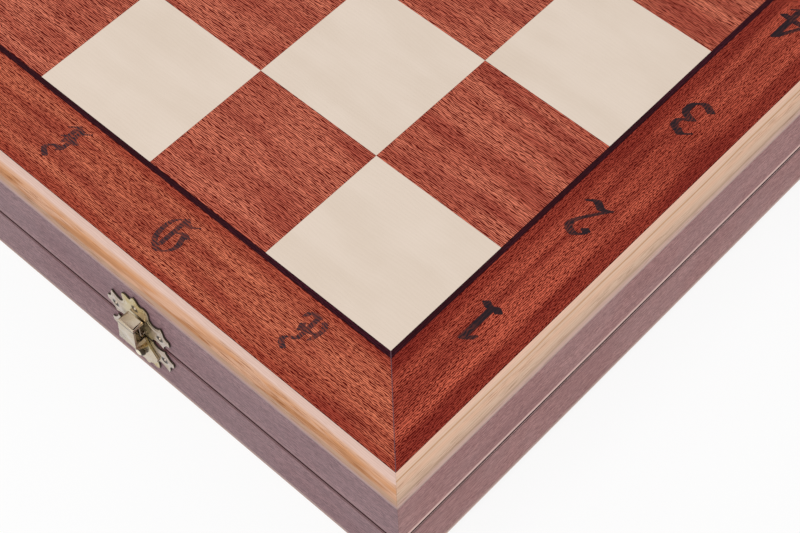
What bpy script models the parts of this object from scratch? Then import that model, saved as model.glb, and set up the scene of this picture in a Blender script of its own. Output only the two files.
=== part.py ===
"""Folding chess board, shut like a flat case.

Two shallow wooden trays are hinged at the back. Each tray's outer face is half of
the board: ranks 1 to 4 on top and ranks 5 to 8 underneath. Two brass clasps hold
the trays shut at the front. Lengths are in metres, +Z is up, +X runs from file a
to file h, and the front, with the clasps, faces -Y. The origin is the bottom
centre of the whole object.
"""

import math

import bmesh
import bpy
from mathutils import Matrix, Vector

# Squares and the bands round them
FILES = "abcdefgh"
UPPER_RANKS = (1, 2, 3, 4)      # from the front to the fold
LOWER_RANKS = (8, 7, 6, 5)
SQUARE = 0.0575
END_FILE_WIDTH = 0.0583         # files a and h
FRONT_RANK_DEPTH = 0.0550       # ranks 1 and 8, trimmed by the stringing
STRING_WIDTH = 0.0021
BORDER_WIDTH = 0.0298
EDGE_RADIUS = 0.0066            # rounded outer edge of the rails

# Trays
TRAY_HEIGHT = 0.0321
PARTING_GAP = 0.0004            # between the rims when shut
FOLD_GAP = 0.0003               # between the backs when flat open
SEAT_GAP = 0.0003               # glue line between two pieces
VENEER = 0.0006
PANEL_THICKNESS = 0.0050
WALL = 0.0140
PANEL_LEDGE = 0.0050            # width of the ledge that carries the panel
UPPER_RIM_LIP = 0.0012          # bare wood between the side veneer and the rim
LOWER_RIM_LIP = 0.0006
RIM_CHAMFER = 0.0003
LINING_THICKNESS = 0.0010

# Hinges
HINGE_INSET = 0.0990            # from the end of the tray to the middle of a hinge
LEAF_LENGTH = 0.0300
LEAF_WIDTH = 0.0092
LEAF_THICKNESS = 0.0010
LEAF_SPACE = 0.0005             # between the two leaves when shut
BARREL_RADIUS = 0.0020
PIN_RADIUS = 0.0009
PIN_CLEARANCE = 0.00035
KNUCKLES = 5
KNUCKLE_GAP = 0.0003
BARREL_CLEARANCE = 0.0004
SCREW_HOLE_RADIUS = 0.0009
COUNTERSINK_RADIUS = 0.0016
SCREW_SHARES = (-0.33, 0.00, 0.33)      # of the leaf's length, from its middle

# Clasps
CLASP_INSET = 0.1232            # from the end of the tray to the middle of a clasp
SHEET = 0.0006                  # brass of the plates
PLATE_HALF_WIDTH = 0.0154
PLATE_HEIGHT = 0.0206
PLATE_FOOT = 0.0007             # from the parting plane to the nearest point of a plate
NAIL_HOLE_RADIUS = 0.0008
HOOK_WIDTH = 0.0050
HOOK_DEPTH = 0.0026             # how far the hook stands out of its plate
HOOK_TOP = 0.0080               # above the parting plane
HOOK_FOOT = 0.0012
ARM_SHEET = 0.0008
ARM_CLEARANCE = 0.0003
RIVET_DROP = 0.0104             # below the parting plane
RIVET_RADIUS = 0.0013
RIVET_CLEARANCE = 0.00035
RIVET_HEAD_RADIUS = 0.0023
RIVET_HEAD_HEIGHT = 0.0020
TAIL_HALF_WIDTH = 0.0082
TAIL_REACH = 0.0060             # below the rivet
HOOD_HALF_WIDTH = 0.0040
HOOD_TOP = 0.0105               # above the parting plane
HOOD_FOOT = 0.0030              # below the parting plane
HOOD_DEPTH = 0.0049             # from the back edge of the hood to its front
HOOD_BACK_SPACE = 0.0006        # between a plate and the back edge of the hood
HOOD_CORNER = 0.0010
BEND_RADIUS = 0.0003            # inner radius of the bends in the arm

# Outline of the right half of a clasp plate, from its tip down to its foot.
# Each row is x, z and the bulge of the stretch to the next row, outwards if above 0.
PLATE_OUTLINE_SHARES = (
    (0.000, 1.000, 0.10),
    (0.105, 0.910, -0.10),
    (0.190, 0.845, 0.28),
    (0.415, 0.850, 0.06),
    (0.415, 0.635, -0.34),
    (0.690, 0.590, -0.10),
    (0.780, 0.670, 0.08),
    (0.850, 0.475, -0.16),
    (0.985, 0.385, 0.10),
    (1.000, 0.240, -0.14),
    (0.850, 0.160, -0.10),
    (0.770, 0.005, -0.12),
    (0.545, 0.085, -0.20),
    (0.400, 0.000, 0.00),
)
NAIL_SHARES = ((-0.715, 0.315), (0.715, 0.315), (0.000, 0.690))

# Right half of the arm's tail, from its neck down to its foot, about the rivet, in the same way.
TAIL_SHARES = (
    (0.48, 1.00, 0.03),
    (1.00, 0.30, 0.06),
    (0.78, -0.50, 0.12),
    (0.00, -1.00, 0.00),
)

# Facets
EDGE_STEPS = 8
ROUND_STEPS = 20
HOLE_STEPS = 12
BEND_STEPS = 4
BULGE_STEPS = 3
SHARP_ANGLE = math.radians(35)  # a steeper edge is shaded sharp
MERGE_DISTANCE = 0.0000004
OVERRUN = 0.0010                # how far a cutter runs past what it cuts

# Sizes that follow from the ones above
FIELD_HALF = (len(FILES) / 2 - 1) * SQUARE + END_FILE_WIDTH
FIELD_DEPTH = (len(UPPER_RANKS) - 1) * SQUARE + FRONT_RANK_DEPTH
MARGIN = STRING_WIDTH + BORDER_WIDTH + EDGE_RADIUS
HALF_LENGTH = FIELD_HALF + MARGIN
DEPTH = FIELD_DEPTH + MARGIN
HEIGHT = 2 * TRAY_HEIGHT + PARTING_GAP
PARTING = HEIGHT / 2
AXIS_OUT = FOLD_GAP / 2         # hinge axis behind the backs of the trays
VENEER_SEAT = VENEER + SEAT_GAP
LEDGE_DEPTH = VENEER_SEAT + PANEL_THICKNESS + SEAT_GAP
ARM_BACK = SEAT_GAP + SHEET + ARM_CLEARANCE
HOOD_BACK = SEAT_GAP + SHEET + HOOD_BACK_SPACE
HOOD_FRONT = HOOD_BACK + HOOD_DEPTH
BACK = (DEPTH + HOOD_FRONT - AXIS_OUT - BARREL_RADIUS) / 2
FRONT = BACK - DEPTH
AXIS_Y = BACK + AXIS_OUT
HINGE_X = HALF_LENGTH - HINGE_INSET
CLASP_X = HALF_LENGTH - CLASP_INSET
RIVET_Z = PARTING - RIVET_DROP

COLOURS = {
    "maple": ((0.72, 0.62, 0.46), 0.45, 0.0),
    "mahogany": ((0.27, 0.060, 0.030), 0.40, 0.0),
    "stringing": ((0.045, 0.010, 0.012), 0.40, 0.0),
    "pale_wood": ((0.70, 0.55, 0.38), 0.50, 0.0),
    "side_veneer": ((0.23, 0.14, 0.14), 0.50, 0.0),
    "felt": ((0.035, 0.090, 0.050), 0.95, 0.0),
    "brass": ((0.62, 0.50, 0.26), 0.30, 1.0),
}


def clear_scene():
    """Empty the scene."""
    for old in list(bpy.data.objects):
        bpy.data.objects.remove(old, do_unlink=True)


def material_for(name, finish):
    """A material of one piece, with the colour, roughness and metallic value of its finish."""
    colour, roughness, metallic = COLOURS[finish]
    material = bpy.data.materials.new(name)
    material.use_nodes = True
    shader = material.node_tree.nodes["Principled BSDF"]
    shader.inputs["Base Color"].default_value = (*colour, 1.0)
    shader.inputs["Roughness"].default_value = roughness
    shader.inputs["Metallic"].default_value = metallic
    return material


def shading_group():
    """A node group that shades a surface smooth except across its sharp edges."""
    group = bpy.data.node_groups.new("shade_by_angle", "GeometryNodeTree")
    for way in ("INPUT", "OUTPUT"):
        group.interface.new_socket("Geometry", in_out=way, socket_type="NodeSocketGeometry")
    entry = group.nodes.new("NodeGroupInput")
    angle = group.nodes.new("GeometryNodeInputMeshEdgeAngle")
    shallow = group.nodes.new("FunctionNodeCompare")
    shallow.operation = "LESS_THAN"
    shallow.inputs["B"].default_value = SHARP_ANGLE
    shade = group.nodes.new("GeometryNodeSetShadeSmooth")
    shade.domain = "EDGE"
    result = group.nodes.new("NodeGroupOutput")
    group.links.new(entry.outputs["Geometry"], shade.inputs["Geometry"])
    group.links.new(angle.outputs["Unsigned Angle"], shallow.inputs["A"])
    group.links.new(shallow.outputs["Result"], shade.inputs["Shade Smooth"])
    group.links.new(shade.outputs["Geometry"], result.inputs["Geometry"])
    return group


def shade_pieces():
    """Shade every piece by the angles of its finished surface."""
    group = shading_group()
    for piece in bpy.data.objects:
        if piece.type == "MESH" and not piece.hide_render:
            piece.modifiers.new(group.name, "NODES").node_group = group


def frame_at(name, place):
    """An empty that carries the pieces of one moving body."""
    empty = bpy.data.objects.new(name, None)
    empty.location = place
    bpy.context.collection.objects.link(empty)
    return empty


def finish_piece(name, shape, finish, carrier):
    """Turn a bmesh, drawn in world places, into a named piece on its carrier."""
    bmesh.ops.remove_doubles(shape, verts=shape.verts, dist=MERGE_DISTANCE)
    bmesh.ops.recalc_face_normals(shape, faces=shape.faces)
    bmesh.ops.transform(shape, matrix=Matrix.Translation(-carrier.location), verts=shape.verts)
    mesh = bpy.data.meshes.new(name)
    shape.to_mesh(mesh)
    shape.free()
    mesh.materials.append(material_for(name, finish))
    mesh.shade_smooth()
    piece = bpy.data.objects.new(name, mesh)
    piece.parent = carrier
    bpy.context.collection.objects.link(piece)
    return piece


def apply_boolean(piece, shape, operation, label):
    """Join, cut or intersect a piece with a labelled bmesh drawn in world places."""
    tool = finish_piece(f"{piece.name}_{label}", shape, "brass", piece.parent)
    tool.hide_render = True
    tool.display_type = "WIRE"
    modifier = piece.modifiers.new(label, "BOOLEAN")
    modifier.operation = operation
    modifier.solver = "EXACT"
    modifier.object = tool


def add_box(shape, low, high):
    """Add a box between two corners to a bmesh."""
    low, high = Vector(low), Vector(high)
    made = bmesh.ops.create_cube(shape, size=1)["verts"]
    bmesh.ops.scale(shape, vec=high - low, verts=made)
    bmesh.ops.translate(shape, vec=(low + high) / 2, verts=made)


def box(low, high):
    """A bmesh of one box."""
    shape = bmesh.new()
    add_box(shape, low, high)
    return shape


def add_prism(shape, outline, reach):
    """Add a prism: a closed outline of 3-D points, extruded by a vector."""
    face = shape.faces.new([shape.verts.new(point) for point in outline])
    grown = bmesh.ops.extrude_face_region(shape, geom=[face])["geom"]
    moved = [item for item in grown if isinstance(item, bmesh.types.BMVert)]
    bmesh.ops.translate(shape, vec=reach, verts=moved)


def prism(outline, reach):
    """A bmesh of one prism."""
    shape = bmesh.new()
    add_prism(shape, outline, reach)
    return shape


def add_lathe(shape, profile, centre, axis, steps):
    """Add a body turned from a closed profile of (radius, place along the axis)."""
    axis = Vector(axis)
    side = axis.orthogonal().normalized()
    centre = Vector(centre)
    ring = [shape.verts.new(centre + side * radius + axis * along) for radius, along in profile]
    pairs = [(n, (n + 1) % len(ring)) for n in range(len(ring))]
    edges = [shape.edges.new((ring[a], ring[b])) for a, b in pairs if profile[a][0] or profile[b][0]]
    bmesh.ops.spin(
        shape, geom=ring + edges, cent=centre, axis=axis, angle=math.tau, steps=steps, use_duplicate=False
    )
    bmesh.ops.remove_doubles(shape, verts=shape.verts, dist=MERGE_DISTANCE)


def lathe(profile, centre, axis, steps):
    """A bmesh of one turned body."""
    shape = bmesh.new()
    add_lathe(shape, profile, centre, axis, steps)
    return shape


def arc(centre, radius, start, end, steps):
    """Points of an arc in a plane, both ends included, with angles in degrees."""
    points = []
    for n in range(steps + 1):
        angle = math.radians(start + (end - start) * n / steps)
        points.append((centre[0] + radius * math.cos(angle), centre[1] + radius * math.sin(angle)))
    return points


def bulged(start, end, bulge):
    """Points from start up to end along a shallow curve that swells to the left of the way."""
    points = []
    for n in range(BULGE_STEPS):
        t = n / BULGE_STEPS
        swell = 4 * t * (1 - t) * bulge
        across = (end[1] - start[1], start[0] - end[0])
        x = start[0] + (end[0] - start[0]) * t - across[0] * swell
        z = start[1] + (end[1] - start[1]) * t - across[1] * swell
        points.append((x, z))
        if not bulge:
            break
    return points


def file_edges():
    """The nine X places where the files start and end."""
    inner = [(n - len(FILES) / 2) * SQUARE for n in range(1, len(FILES))]
    return [-FIELD_HALF, *inner, FIELD_HALF]


def rank_edges():
    """The five Y places where a tray's ranks start and end, from the front to the fold."""
    return [BACK - FIELD_DEPTH, *[BACK - n * SQUARE for n in range(len(UPPER_RANKS) - 1, -1, -1)]]


class Tray:
    """One half of the board: a shallow box whose outer face carries 32 squares."""

    def __init__(self, name, ranks, face, inward, rim_lip, carrier):
        """Keep the face's height, the way into the tray (+1 up, -1 down) and the carrier."""
        self.name = name
        self.ranks = ranks
        self.face = face
        self.inward = inward
        self.rim_lip = rim_lip
        self.carrier = carrier

    def z(self, depth):
        """Height of a place that lies this deep behind the playing face."""
        return self.face + self.inward * depth

    def slab(self, low, high, top, bottom):
        """A box between two plan corners and two depths behind the face."""
        return box((*low, self.z(top)), (*high, self.z(bottom)))

    def build(self):
        """Build every wooden piece and the lining."""
        self.build_field()
        self.build_bands()
        self.build_rails()
        self.build_lining()

    def build_field(self):
        """The panel with its raised light squares, and the dark squares between them."""
        ledge = EDGE_RADIUS + BORDER_WIDTH + STRING_WIDTH - (WALL - PANEL_LEDGE + SEAT_GAP)
        low = (-FIELD_HALF - ledge, BACK - FIELD_DEPTH - ledge)
        high = (FIELD_HALF + ledge, BACK)
        shape = self.slab(low, high, VENEER_SEAT, VENEER_SEAT + PANEL_THICKNESS)
        panel = finish_piece(f"{self.name}_field_panel", shape, "maple", self.carrier)
        lights = bmesh.new()
        inset = SEAT_GAP / 2
        for column, (x0, x1) in enumerate(zip(file_edges(), file_edges()[1:])):
            for row, (y0, y1) in enumerate(zip(rank_edges(), rank_edges()[1:])):
                corners = (x0 + inset, y0 + inset), (x1 - inset, y1 - inset)
                if (column + 1 + self.ranks[row]) % 2:
                    root = VENEER_SEAT + PANEL_THICKNESS / 2
                    low, high = (*corners[0], self.z(0)), (*corners[1], self.z(root))
                    add_box(lights, low, high)
                    continue
                name = f"dark_square_{FILES[column]}{self.ranks[row]}"
                finish_piece(name, self.slab(*corners, 0, VENEER), "mahogany", self.carrier)
        apply_boolean(panel, lights, "UNION", "light_squares")

    def horseshoe(self, inner, outer, top, bottom):
        """A band round the front and both ends, between two distances from the outer faces."""
        wide, narrow = HALF_LENGTH - outer, HALF_LENGTH - inner
        plan = (
            (-wide, BACK),
            (-wide, FRONT + outer),
            (wide, FRONT + outer),
            (wide, BACK),
            (narrow, BACK),
            (narrow, FRONT + inner),
            (-narrow, FRONT + inner),
            (-narrow, BACK),
        )
        outline = [(x, y, self.z(top)) for x, y in plan]
        return prism(outline, (0, 0, self.inward * (bottom - top)))

    def build_bands(self):
        """The stringing, the border veneer and the side veneer."""
        half_gap = SEAT_GAP / 2
        string_outer = EDGE_RADIUS + BORDER_WIDTH
        stringing = self.horseshoe(
            string_outer + STRING_WIDTH - half_gap, string_outer + half_gap, 0, VENEER
        )
        finish_piece(f"{self.name}_stringing", stringing, "stringing", self.carrier)
        border = self.horseshoe(string_outer - half_gap, EDGE_RADIUS + SEAT_GAP, 0, VENEER)
        finish_piece(f"{self.name}_border_veneer", border, "mahogany", self.carrier)
        side = self.horseshoe(
            VENEER, 0, EDGE_RADIUS + SEAT_GAP, TRAY_HEIGHT - self.rim_lip - SEAT_GAP
        )
        finish_piece(f"{self.name}_side_veneer", side, "side_veneer", self.carrier)

    def rail_profile(self):
        """Section of a rail as (distance from the outer face, depth behind the playing face)."""
        edge = arc((EDGE_RADIUS, EDGE_RADIUS), EDGE_RADIUS, -90, -180, EDGE_STEPS)
        lip = TRAY_HEIGHT - self.rim_lip
        return [
            (WALL, TRAY_HEIGHT),
            (WALL, LEDGE_DEPTH),
            (WALL - PANEL_LEDGE, LEDGE_DEPTH),
            (WALL - PANEL_LEDGE, VENEER_SEAT),
            (EDGE_RADIUS, VENEER_SEAT),
            *edge,
            (VENEER_SEAT, EDGE_RADIUS),
            (VENEER_SEAT, lip),
            (0, lip),
            (0, TRAY_HEIGHT - RIM_CHAMFER),
            (RIM_CHAMFER, TRAY_HEIGHT),
        ]

    def rail(self, corner_of, corner_to):
        """A rail drawn between two ends, each a function of the distance from the outer face."""
        shape = bmesh.new()
        first = [shape.verts.new((*corner_of(out), self.z(d))) for out, d in self.rail_profile()]
        last = [shape.verts.new((*corner_to(out), self.z(d))) for out, d in self.rail_profile()]
        shape.faces.new(first)
        shape.faces.new(last)
        for n in range(len(first)):
            m = (n + 1) % len(first)
            shape.faces.new((first[n], first[m], last[m], last[n]))
        return shape

    def build_rails(self):
        """Front and end rails with mitred corners, and the back rail between the ends."""
        mitre = SEAT_GAP / math.sqrt(2)
        front = self.rail(
            lambda out: (-HALF_LENGTH + out + mitre, FRONT + out),
            lambda out: (HALF_LENGTH - out - mitre, FRONT + out),
        )
        finish_piece(f"{self.name}_front_rail", front, "pale_wood", self.carrier)
        for side, sign in (("left", -1), ("right", 1)):
            end = self.rail(
                lambda out: (sign * (HALF_LENGTH - out), FRONT + out),
                lambda out: (sign * (HALF_LENGTH - out), BACK),
            )
            finish_piece(f"{self.name}_{side}_rail", end, "pale_wood", self.carrier)
        reach = HALF_LENGTH - WALL - SEAT_GAP
        shape = self.slab((-reach, BACK - WALL), (reach, BACK), LEDGE_DEPTH, TRAY_HEIGHT)
        back = finish_piece(f"{self.name}_back_rail", shape, "pale_wood", self.carrier)
        apply_boolean(back, self.leaf_mortises(), "DIFFERENCE", "leaf_mortises")
        apply_boolean(back, self.barrel_grooves(), "DIFFERENCE", "barrel_grooves")

    def leaf_mortises(self):
        """Cutters for the hinge leaves in the rim of the back rail."""
        shape = bmesh.new()
        half = LEAF_LENGTH / 2 + SEAT_GAP
        floor = LEAF_SPACE / 2 + LEAF_THICKNESS + SEAT_GAP
        back = AXIS_Y - BARREL_RADIUS - LEAF_WIDTH - SEAT_GAP
        levels = sorted((PARTING, PARTING - self.inward * floor))
        for x in (-HINGE_X, HINGE_X):
            add_box(shape, (x - half, back, levels[0]), (x + half, BACK + OVERRUN, levels[1]))
        return shape

    def barrel_grooves(self):
        """Cutters for the hinge barrels in the edge of the back rail."""
        shape = bmesh.new()
        half = LEAF_LENGTH / 2 + SEAT_GAP
        radius = BARREL_RADIUS + BARREL_CLEARANCE
        profile = ((0, -half), (radius, -half), (radius, half), (0, half))
        for x in (-HINGE_X, HINGE_X):
            join_into(shape, lathe(profile, (x, AXIS_Y, PARTING), (1, 0, 0), ROUND_STEPS))
        return shape

    def build_lining(self):
        """The felt that lies on the inside of the panel."""
        reach = HALF_LENGTH - WALL - SEAT_GAP
        low = (-reach, FRONT + WALL + SEAT_GAP)
        high = (reach, BACK - WALL - SEAT_GAP)
        shape = self.slab(low, high, LEDGE_DEPTH, LEDGE_DEPTH + LINING_THICKNESS)
        finish_piece(f"{self.name}_lining", shape, "felt", self.carrier)


def join_into(shape, other):
    """Copy every face of one bmesh into another and free it."""
    copies = {vert: shape.verts.new(vert.co) for vert in other.verts}
    for face in other.faces:
        shape.faces.new([copies[vert] for vert in face.verts])
    other.free()


class Hinge:
    """A butt hinge: two leaves let into the rims, with knuckles round one pin."""

    def __init__(self, name, x, lower, upper):
        """Keep the hinge's middle and the two carriers."""
        self.name = name
        self.x = x
        self.lower = lower
        self.upper = upper

    def knuckle_span(self, number):
        """X places where a knuckle starts and ends."""
        pitch = LEAF_LENGTH / KNUCKLES
        start = self.x - LEAF_LENGTH / 2 + number * pitch
        return start + KNUCKLE_GAP / 2, start + pitch - KNUCKLE_GAP / 2

    def leaf(self, side, knuckles):
        """The flat of a leaf on one side of the parting plane, with a tongue to each knuckle."""
        near = PARTING + side * LEAF_SPACE / 2
        far = near + side * LEAF_THICKNESS
        edge = AXIS_Y - BARREL_RADIUS - BARREL_CLEARANCE
        back = edge - LEAF_WIDTH + BARREL_CLEARANCE
        ends = self.x - LEAF_LENGTH / 2, self.x + LEAF_LENGTH / 2
        root = AXIS_Y - (PIN_RADIUS + PIN_CLEARANCE + BARREL_RADIUS) / 2
        plan = [(ends[0], back), (ends[1], back), (ends[1], edge)]
        for number in reversed(knuckles):
            start, end = self.knuckle_span(number)
            plan += [(end, edge), (end, root), (start, root), (start, edge)]
        plan += [(ends[0], edge)]
        return prism([(x, y, near) for x, y in plan], (0, 0, far - near))

    def build(self):
        """The lower leaf with its pin, and the upper leaf that turns on it."""
        own = list(range(0, KNUCKLES, 2))
        turning = list(range(1, KNUCKLES, 2))
        lower = finish_piece(f"{self.name}_lower_leaf", self.leaf(-1, own), "brass", self.lower)
        apply_boolean(lower, self.pin_and_knuckles(own), "UNION", "pin")
        apply_boolean(lower, self.screw_holes(-1), "DIFFERENCE", "screw_holes")
        upper = finish_piece(f"{self.name}_upper_leaf", self.leaf(1, turning), "brass", self.upper)
        tubes = bmesh.new()
        bore = PIN_RADIUS + PIN_CLEARANCE
        for number in turning:
            start, end = (place - self.x for place in self.knuckle_span(number))
            ring = ((bore, start), (BARREL_RADIUS, start), (BARREL_RADIUS, end), (bore, end))
            join_into(tubes, lathe(ring, (self.x, AXIS_Y, PARTING), (1, 0, 0), ROUND_STEPS))
        apply_boolean(upper, tubes, "UNION", "knuckles")
        apply_boolean(upper, self.screw_holes(1), "DIFFERENCE", "screw_holes")

    def screw_holes(self, side):
        """Cutters for the countersunk screw holes of a leaf, sunk from its inner face."""
        shape = bmesh.new()
        sink = COUNTERSINK_RADIUS - SCREW_HOLE_RADIUS
        profile = (
            (0, -OVERRUN),
            (COUNTERSINK_RADIUS + OVERRUN, -OVERRUN),
            (SCREW_HOLE_RADIUS, sink),
            (SCREW_HOLE_RADIUS, LEAF_THICKNESS + OVERRUN),
            (0, LEAF_THICKNESS + OVERRUN),
        )
        y = AXIS_Y - BARREL_RADIUS - LEAF_WIDTH / 2
        for share in SCREW_SHARES:
            centre = (self.x + share * LEAF_LENGTH, y, PARTING + side * LEAF_SPACE / 2)
            join_into(shape, lathe(profile, centre, (0, 0, side), HOLE_STEPS))
        return shape

    def pin_and_knuckles(self, own):
        """The pin, turned in one with the knuckles that it is pressed into."""
        profile = []
        for number in own:
            start, end = (place - self.x for place in self.knuckle_span(number))
            profile += [(PIN_RADIUS, start), (BARREL_RADIUS, start)]
            profile += [(BARREL_RADIUS, end), (PIN_RADIUS, end)]
        profile[0] = (0, profile[0][1])
        profile[-1] = (0, profile[-1][1])
        return lathe(profile, (self.x, AXIS_Y, PARTING), (1, 0, 0), ROUND_STEPS)


class Clasp:
    """An ornate box clasp: catch plate and hook above, base plate, rivet and arm below."""

    def __init__(self, name, x, lower, upper, arm):
        """Keep the clasp's middle and the three carriers."""
        self.name = name
        self.x = x
        self.lower = lower
        self.upper = upper
        self.arm = arm

    def front(self, out):
        """Y place that stands this far out of the front face."""
        return FRONT - out

    def plate(self, side):
        """A plate of ornate outline, above (+1) or below (-1) the parting plane."""
        right = []
        rows = [(x * PLATE_HALF_WIDTH, z * PLATE_HEIGHT, b) for x, z, b in PLATE_OUTLINE_SHARES]
        for here, there in zip(rows, rows[1:]):
            right += bulged(here[:2], there[:2], here[2])
        right.append(rows[-1][:2])
        left = [(-x, z) for x, z in reversed(right[1:])]
        outline = [
            (self.x + x, self.front(SEAT_GAP), PARTING + side * (PLATE_FOOT + z)) for x, z in right + left
        ]
        return prism(outline, (0, -SHEET, 0))

    def nail_holes(self, side):
        """Cutters for the three nail holes of a plate."""
        shape = bmesh.new()
        length = SHEET + 2 * OVERRUN
        profile = ((0, 0), (NAIL_HOLE_RADIUS, 0), (NAIL_HOLE_RADIUS, length), (0, length))
        for x_share, z_share in NAIL_SHARES:
            x = self.x + x_share * PLATE_HALF_WIDTH
            z = PARTING + side * (PLATE_FOOT + z_share * PLATE_HEIGHT)
            centre = (x, self.front(SEAT_GAP - OVERRUN), z)
            join_into(shape, lathe(profile, centre, (0, -1, 0), HOLE_STEPS))
        return shape

    def hook(self):
        """The tongue that turns out of the foot of the catch plate and up into the hood."""
        inner = HOOK_DEPTH / 2 - SHEET
        centre = (SEAT_GAP + HOOK_DEPTH / 2, PARTING + HOOK_FOOT + HOOK_DEPTH / 2)
        top = PARTING + HOOK_TOP
        outer = arc(centre, HOOK_DEPTH / 2, 180, 360, 2 * BEND_STEPS)
        inside = arc(centre, inner, 360, 180, 2 * BEND_STEPS)
        section = [
            *outer,
            (SEAT_GAP + HOOK_DEPTH, top),
            (SEAT_GAP + HOOK_DEPTH - SHEET, top),
            *inside,
            (SEAT_GAP + SHEET, PARTING + HOOK_TOP / 2),
            (SEAT_GAP, PARTING + HOOK_TOP / 2),
        ]
        outline = [(self.x - HOOK_WIDTH / 2, self.front(out), z) for out, z in section]
        return prism(outline, (HOOK_WIDTH, 0, 0))

    def rivet(self):
        """The rivet that the arm turns on, with a domed head."""
        neck = ARM_BACK + ARM_SHEET + ARM_CLEARANCE - SEAT_GAP
        foot = SHEET / 2
        dome = [
            (RIVET_HEAD_RADIUS * math.cos(angle), neck + RIVET_HEAD_HEIGHT * math.sin(angle))
            for angle in (math.radians(90 * n / BEND_STEPS) for n in range(BEND_STEPS))
        ]
        profile = [(0, foot), (RIVET_RADIUS, foot), (RIVET_RADIUS, neck), *dome]
        profile.append((0, neck + RIVET_HEAD_HEIGHT))
        return lathe(profile, (self.x, self.front(SEAT_GAP), RIVET_Z), (0, -1, 0), ROUND_STEPS)

    def arm_section(self):
        """Side view of the bent arm as (distance out of the front face, height)."""
        back, front = ARM_BACK, HOOD_FRONT - ARM_SHEET
        foot = PARTING - HOOD_FOOT
        slope = front - back
        corner = BEND_RADIUS + ARM_SHEET
        top = PARTING + HOOD_TOP
        outer = arc((HOOD_FRONT - corner, top - corner), corner, 0, 90, BEND_STEPS)
        inner = arc((HOOD_FRONT - corner, top - corner), BEND_RADIUS, 90, 0, BEND_STEPS)
        return [
            (back, RIVET_Z - TAIL_REACH - OVERRUN),
            (back + ARM_SHEET, RIVET_Z - TAIL_REACH - OVERRUN),
            (back + ARM_SHEET, foot - slope / 2 - ARM_SHEET / 2),
            (HOOD_FRONT, foot - ARM_SHEET / 2),
            *outer,
            (HOOD_BACK, top),
            (HOOD_BACK, top - ARM_SHEET),
            *inner,
            (front, foot),
            (back, foot - slope / 2),
        ]

    def arm_outline(self):
        """Front view of the arm: a bell-shaped tail and the hood, as (x, height)."""
        top = PARTING + HOOD_TOP
        corner = HOOD_HALF_WIDTH - HOOD_CORNER
        rows = [(x * TAIL_HALF_WIDTH, z * TAIL_REACH, b) for x, z, b in TAIL_SHARES]
        right = []
        for here, there in zip(rows, rows[1:]):
            right += bulged(here[:2], there[:2], here[2])
        around = [*right, rows[-1][:2], *((-x, z) for x, z in reversed(right))]
        tail = [(self.x + x, RIVET_Z + z) for x, z in around]
        hood = [
            (self.x - HOOD_HALF_WIDTH, PARTING - HOOD_FOOT),
            *arc((self.x - corner, top - HOOD_CORNER), HOOD_CORNER, 180, 90, BEND_STEPS),
            *arc((self.x + corner, top - HOOD_CORNER), HOOD_CORNER, 90, 0, BEND_STEPS),
            (self.x + HOOD_HALF_WIDTH, PARTING - HOOD_FOOT),
        ]
        return tail + hood

    def build(self):
        """The two plates and the swing arm."""
        catch = finish_piece(f"{self.name}_catch_plate", self.plate(1), "brass", self.upper)
        apply_boolean(catch, self.hook(), "UNION", "hook")
        apply_boolean(catch, self.nail_holes(1), "DIFFERENCE", "nail_holes")
        base = finish_piece(f"{self.name}_base_plate", self.plate(-1), "brass", self.lower)
        apply_boolean(base, self.rivet(), "UNION", "rivet")
        apply_boolean(base, self.nail_holes(-1), "DIFFERENCE", "nail_holes")
        reach = HOOD_HALF_WIDTH + TAIL_HALF_WIDTH
        section = [(self.x - reach, self.front(out), z) for out, z in self.arm_section()]
        arm = finish_piece(f"{self.name}_swing_arm", prism(section, (2 * reach, 0, 0)), "brass", self.arm)
        face = [(x, self.front(HOOD_FRONT + OVERRUN), z) for x, z in self.arm_outline()]
        apply_boolean(arm, prism(face, (0, HOOD_FRONT + OVERRUN, 0)), "INTERSECT", "outline")
        bore = RIVET_RADIUS + RIVET_CLEARANCE
        profile = ((0, 0), (bore, 0), (bore, HOOD_FRONT), (0, HOOD_FRONT))
        hole = lathe(profile, (self.x, self.front(0), RIVET_Z), (0, -1, 0), ROUND_STEPS)
        apply_boolean(arm, hole, "DIFFERENCE", "rivet_hole")


def main():
    """Build the two trays, the two hinges and the two clasps."""
    clear_scene()
    lower = frame_at("lower_tray", (0, 0, 0))
    upper = frame_at("upper_tray", (0, AXIS_Y, PARTING))
    Tray("lower", LOWER_RANKS, 0, 1, LOWER_RIM_LIP, lower).build()
    Tray("upper", UPPER_RANKS, HEIGHT, -1, UPPER_RIM_LIP, upper).build()
    for side, sign in (("left", -1), ("right", 1)):
        Hinge(f"{side}_hinge", sign * HINGE_X, lower, upper).build()
        arm = frame_at(f"{side}_clasp_arm", (sign * CLASP_X, FRONT, RIVET_Z))
        Clasp(f"{side}_clasp", sign * CLASP_X, lower, upper, arm).build()
    shade_pieces()


main()
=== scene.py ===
"""Looks of the folding chess board: fine shapes, wood, brass and felt finishes, lettering, studio.

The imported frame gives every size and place. Lengths are in metres, +X runs from file a to
file h, the front with the clasps faces -Y, and +Z is up.
"""

from __future__ import annotations

import logging
import math
import sys
from dataclasses import dataclass, field, replace
from enum import Enum
from typing import Callable, Iterable, Sequence

import bmesh
import bpy
import numpy as np
from mathutils import Matrix, Vector, geometry


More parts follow.
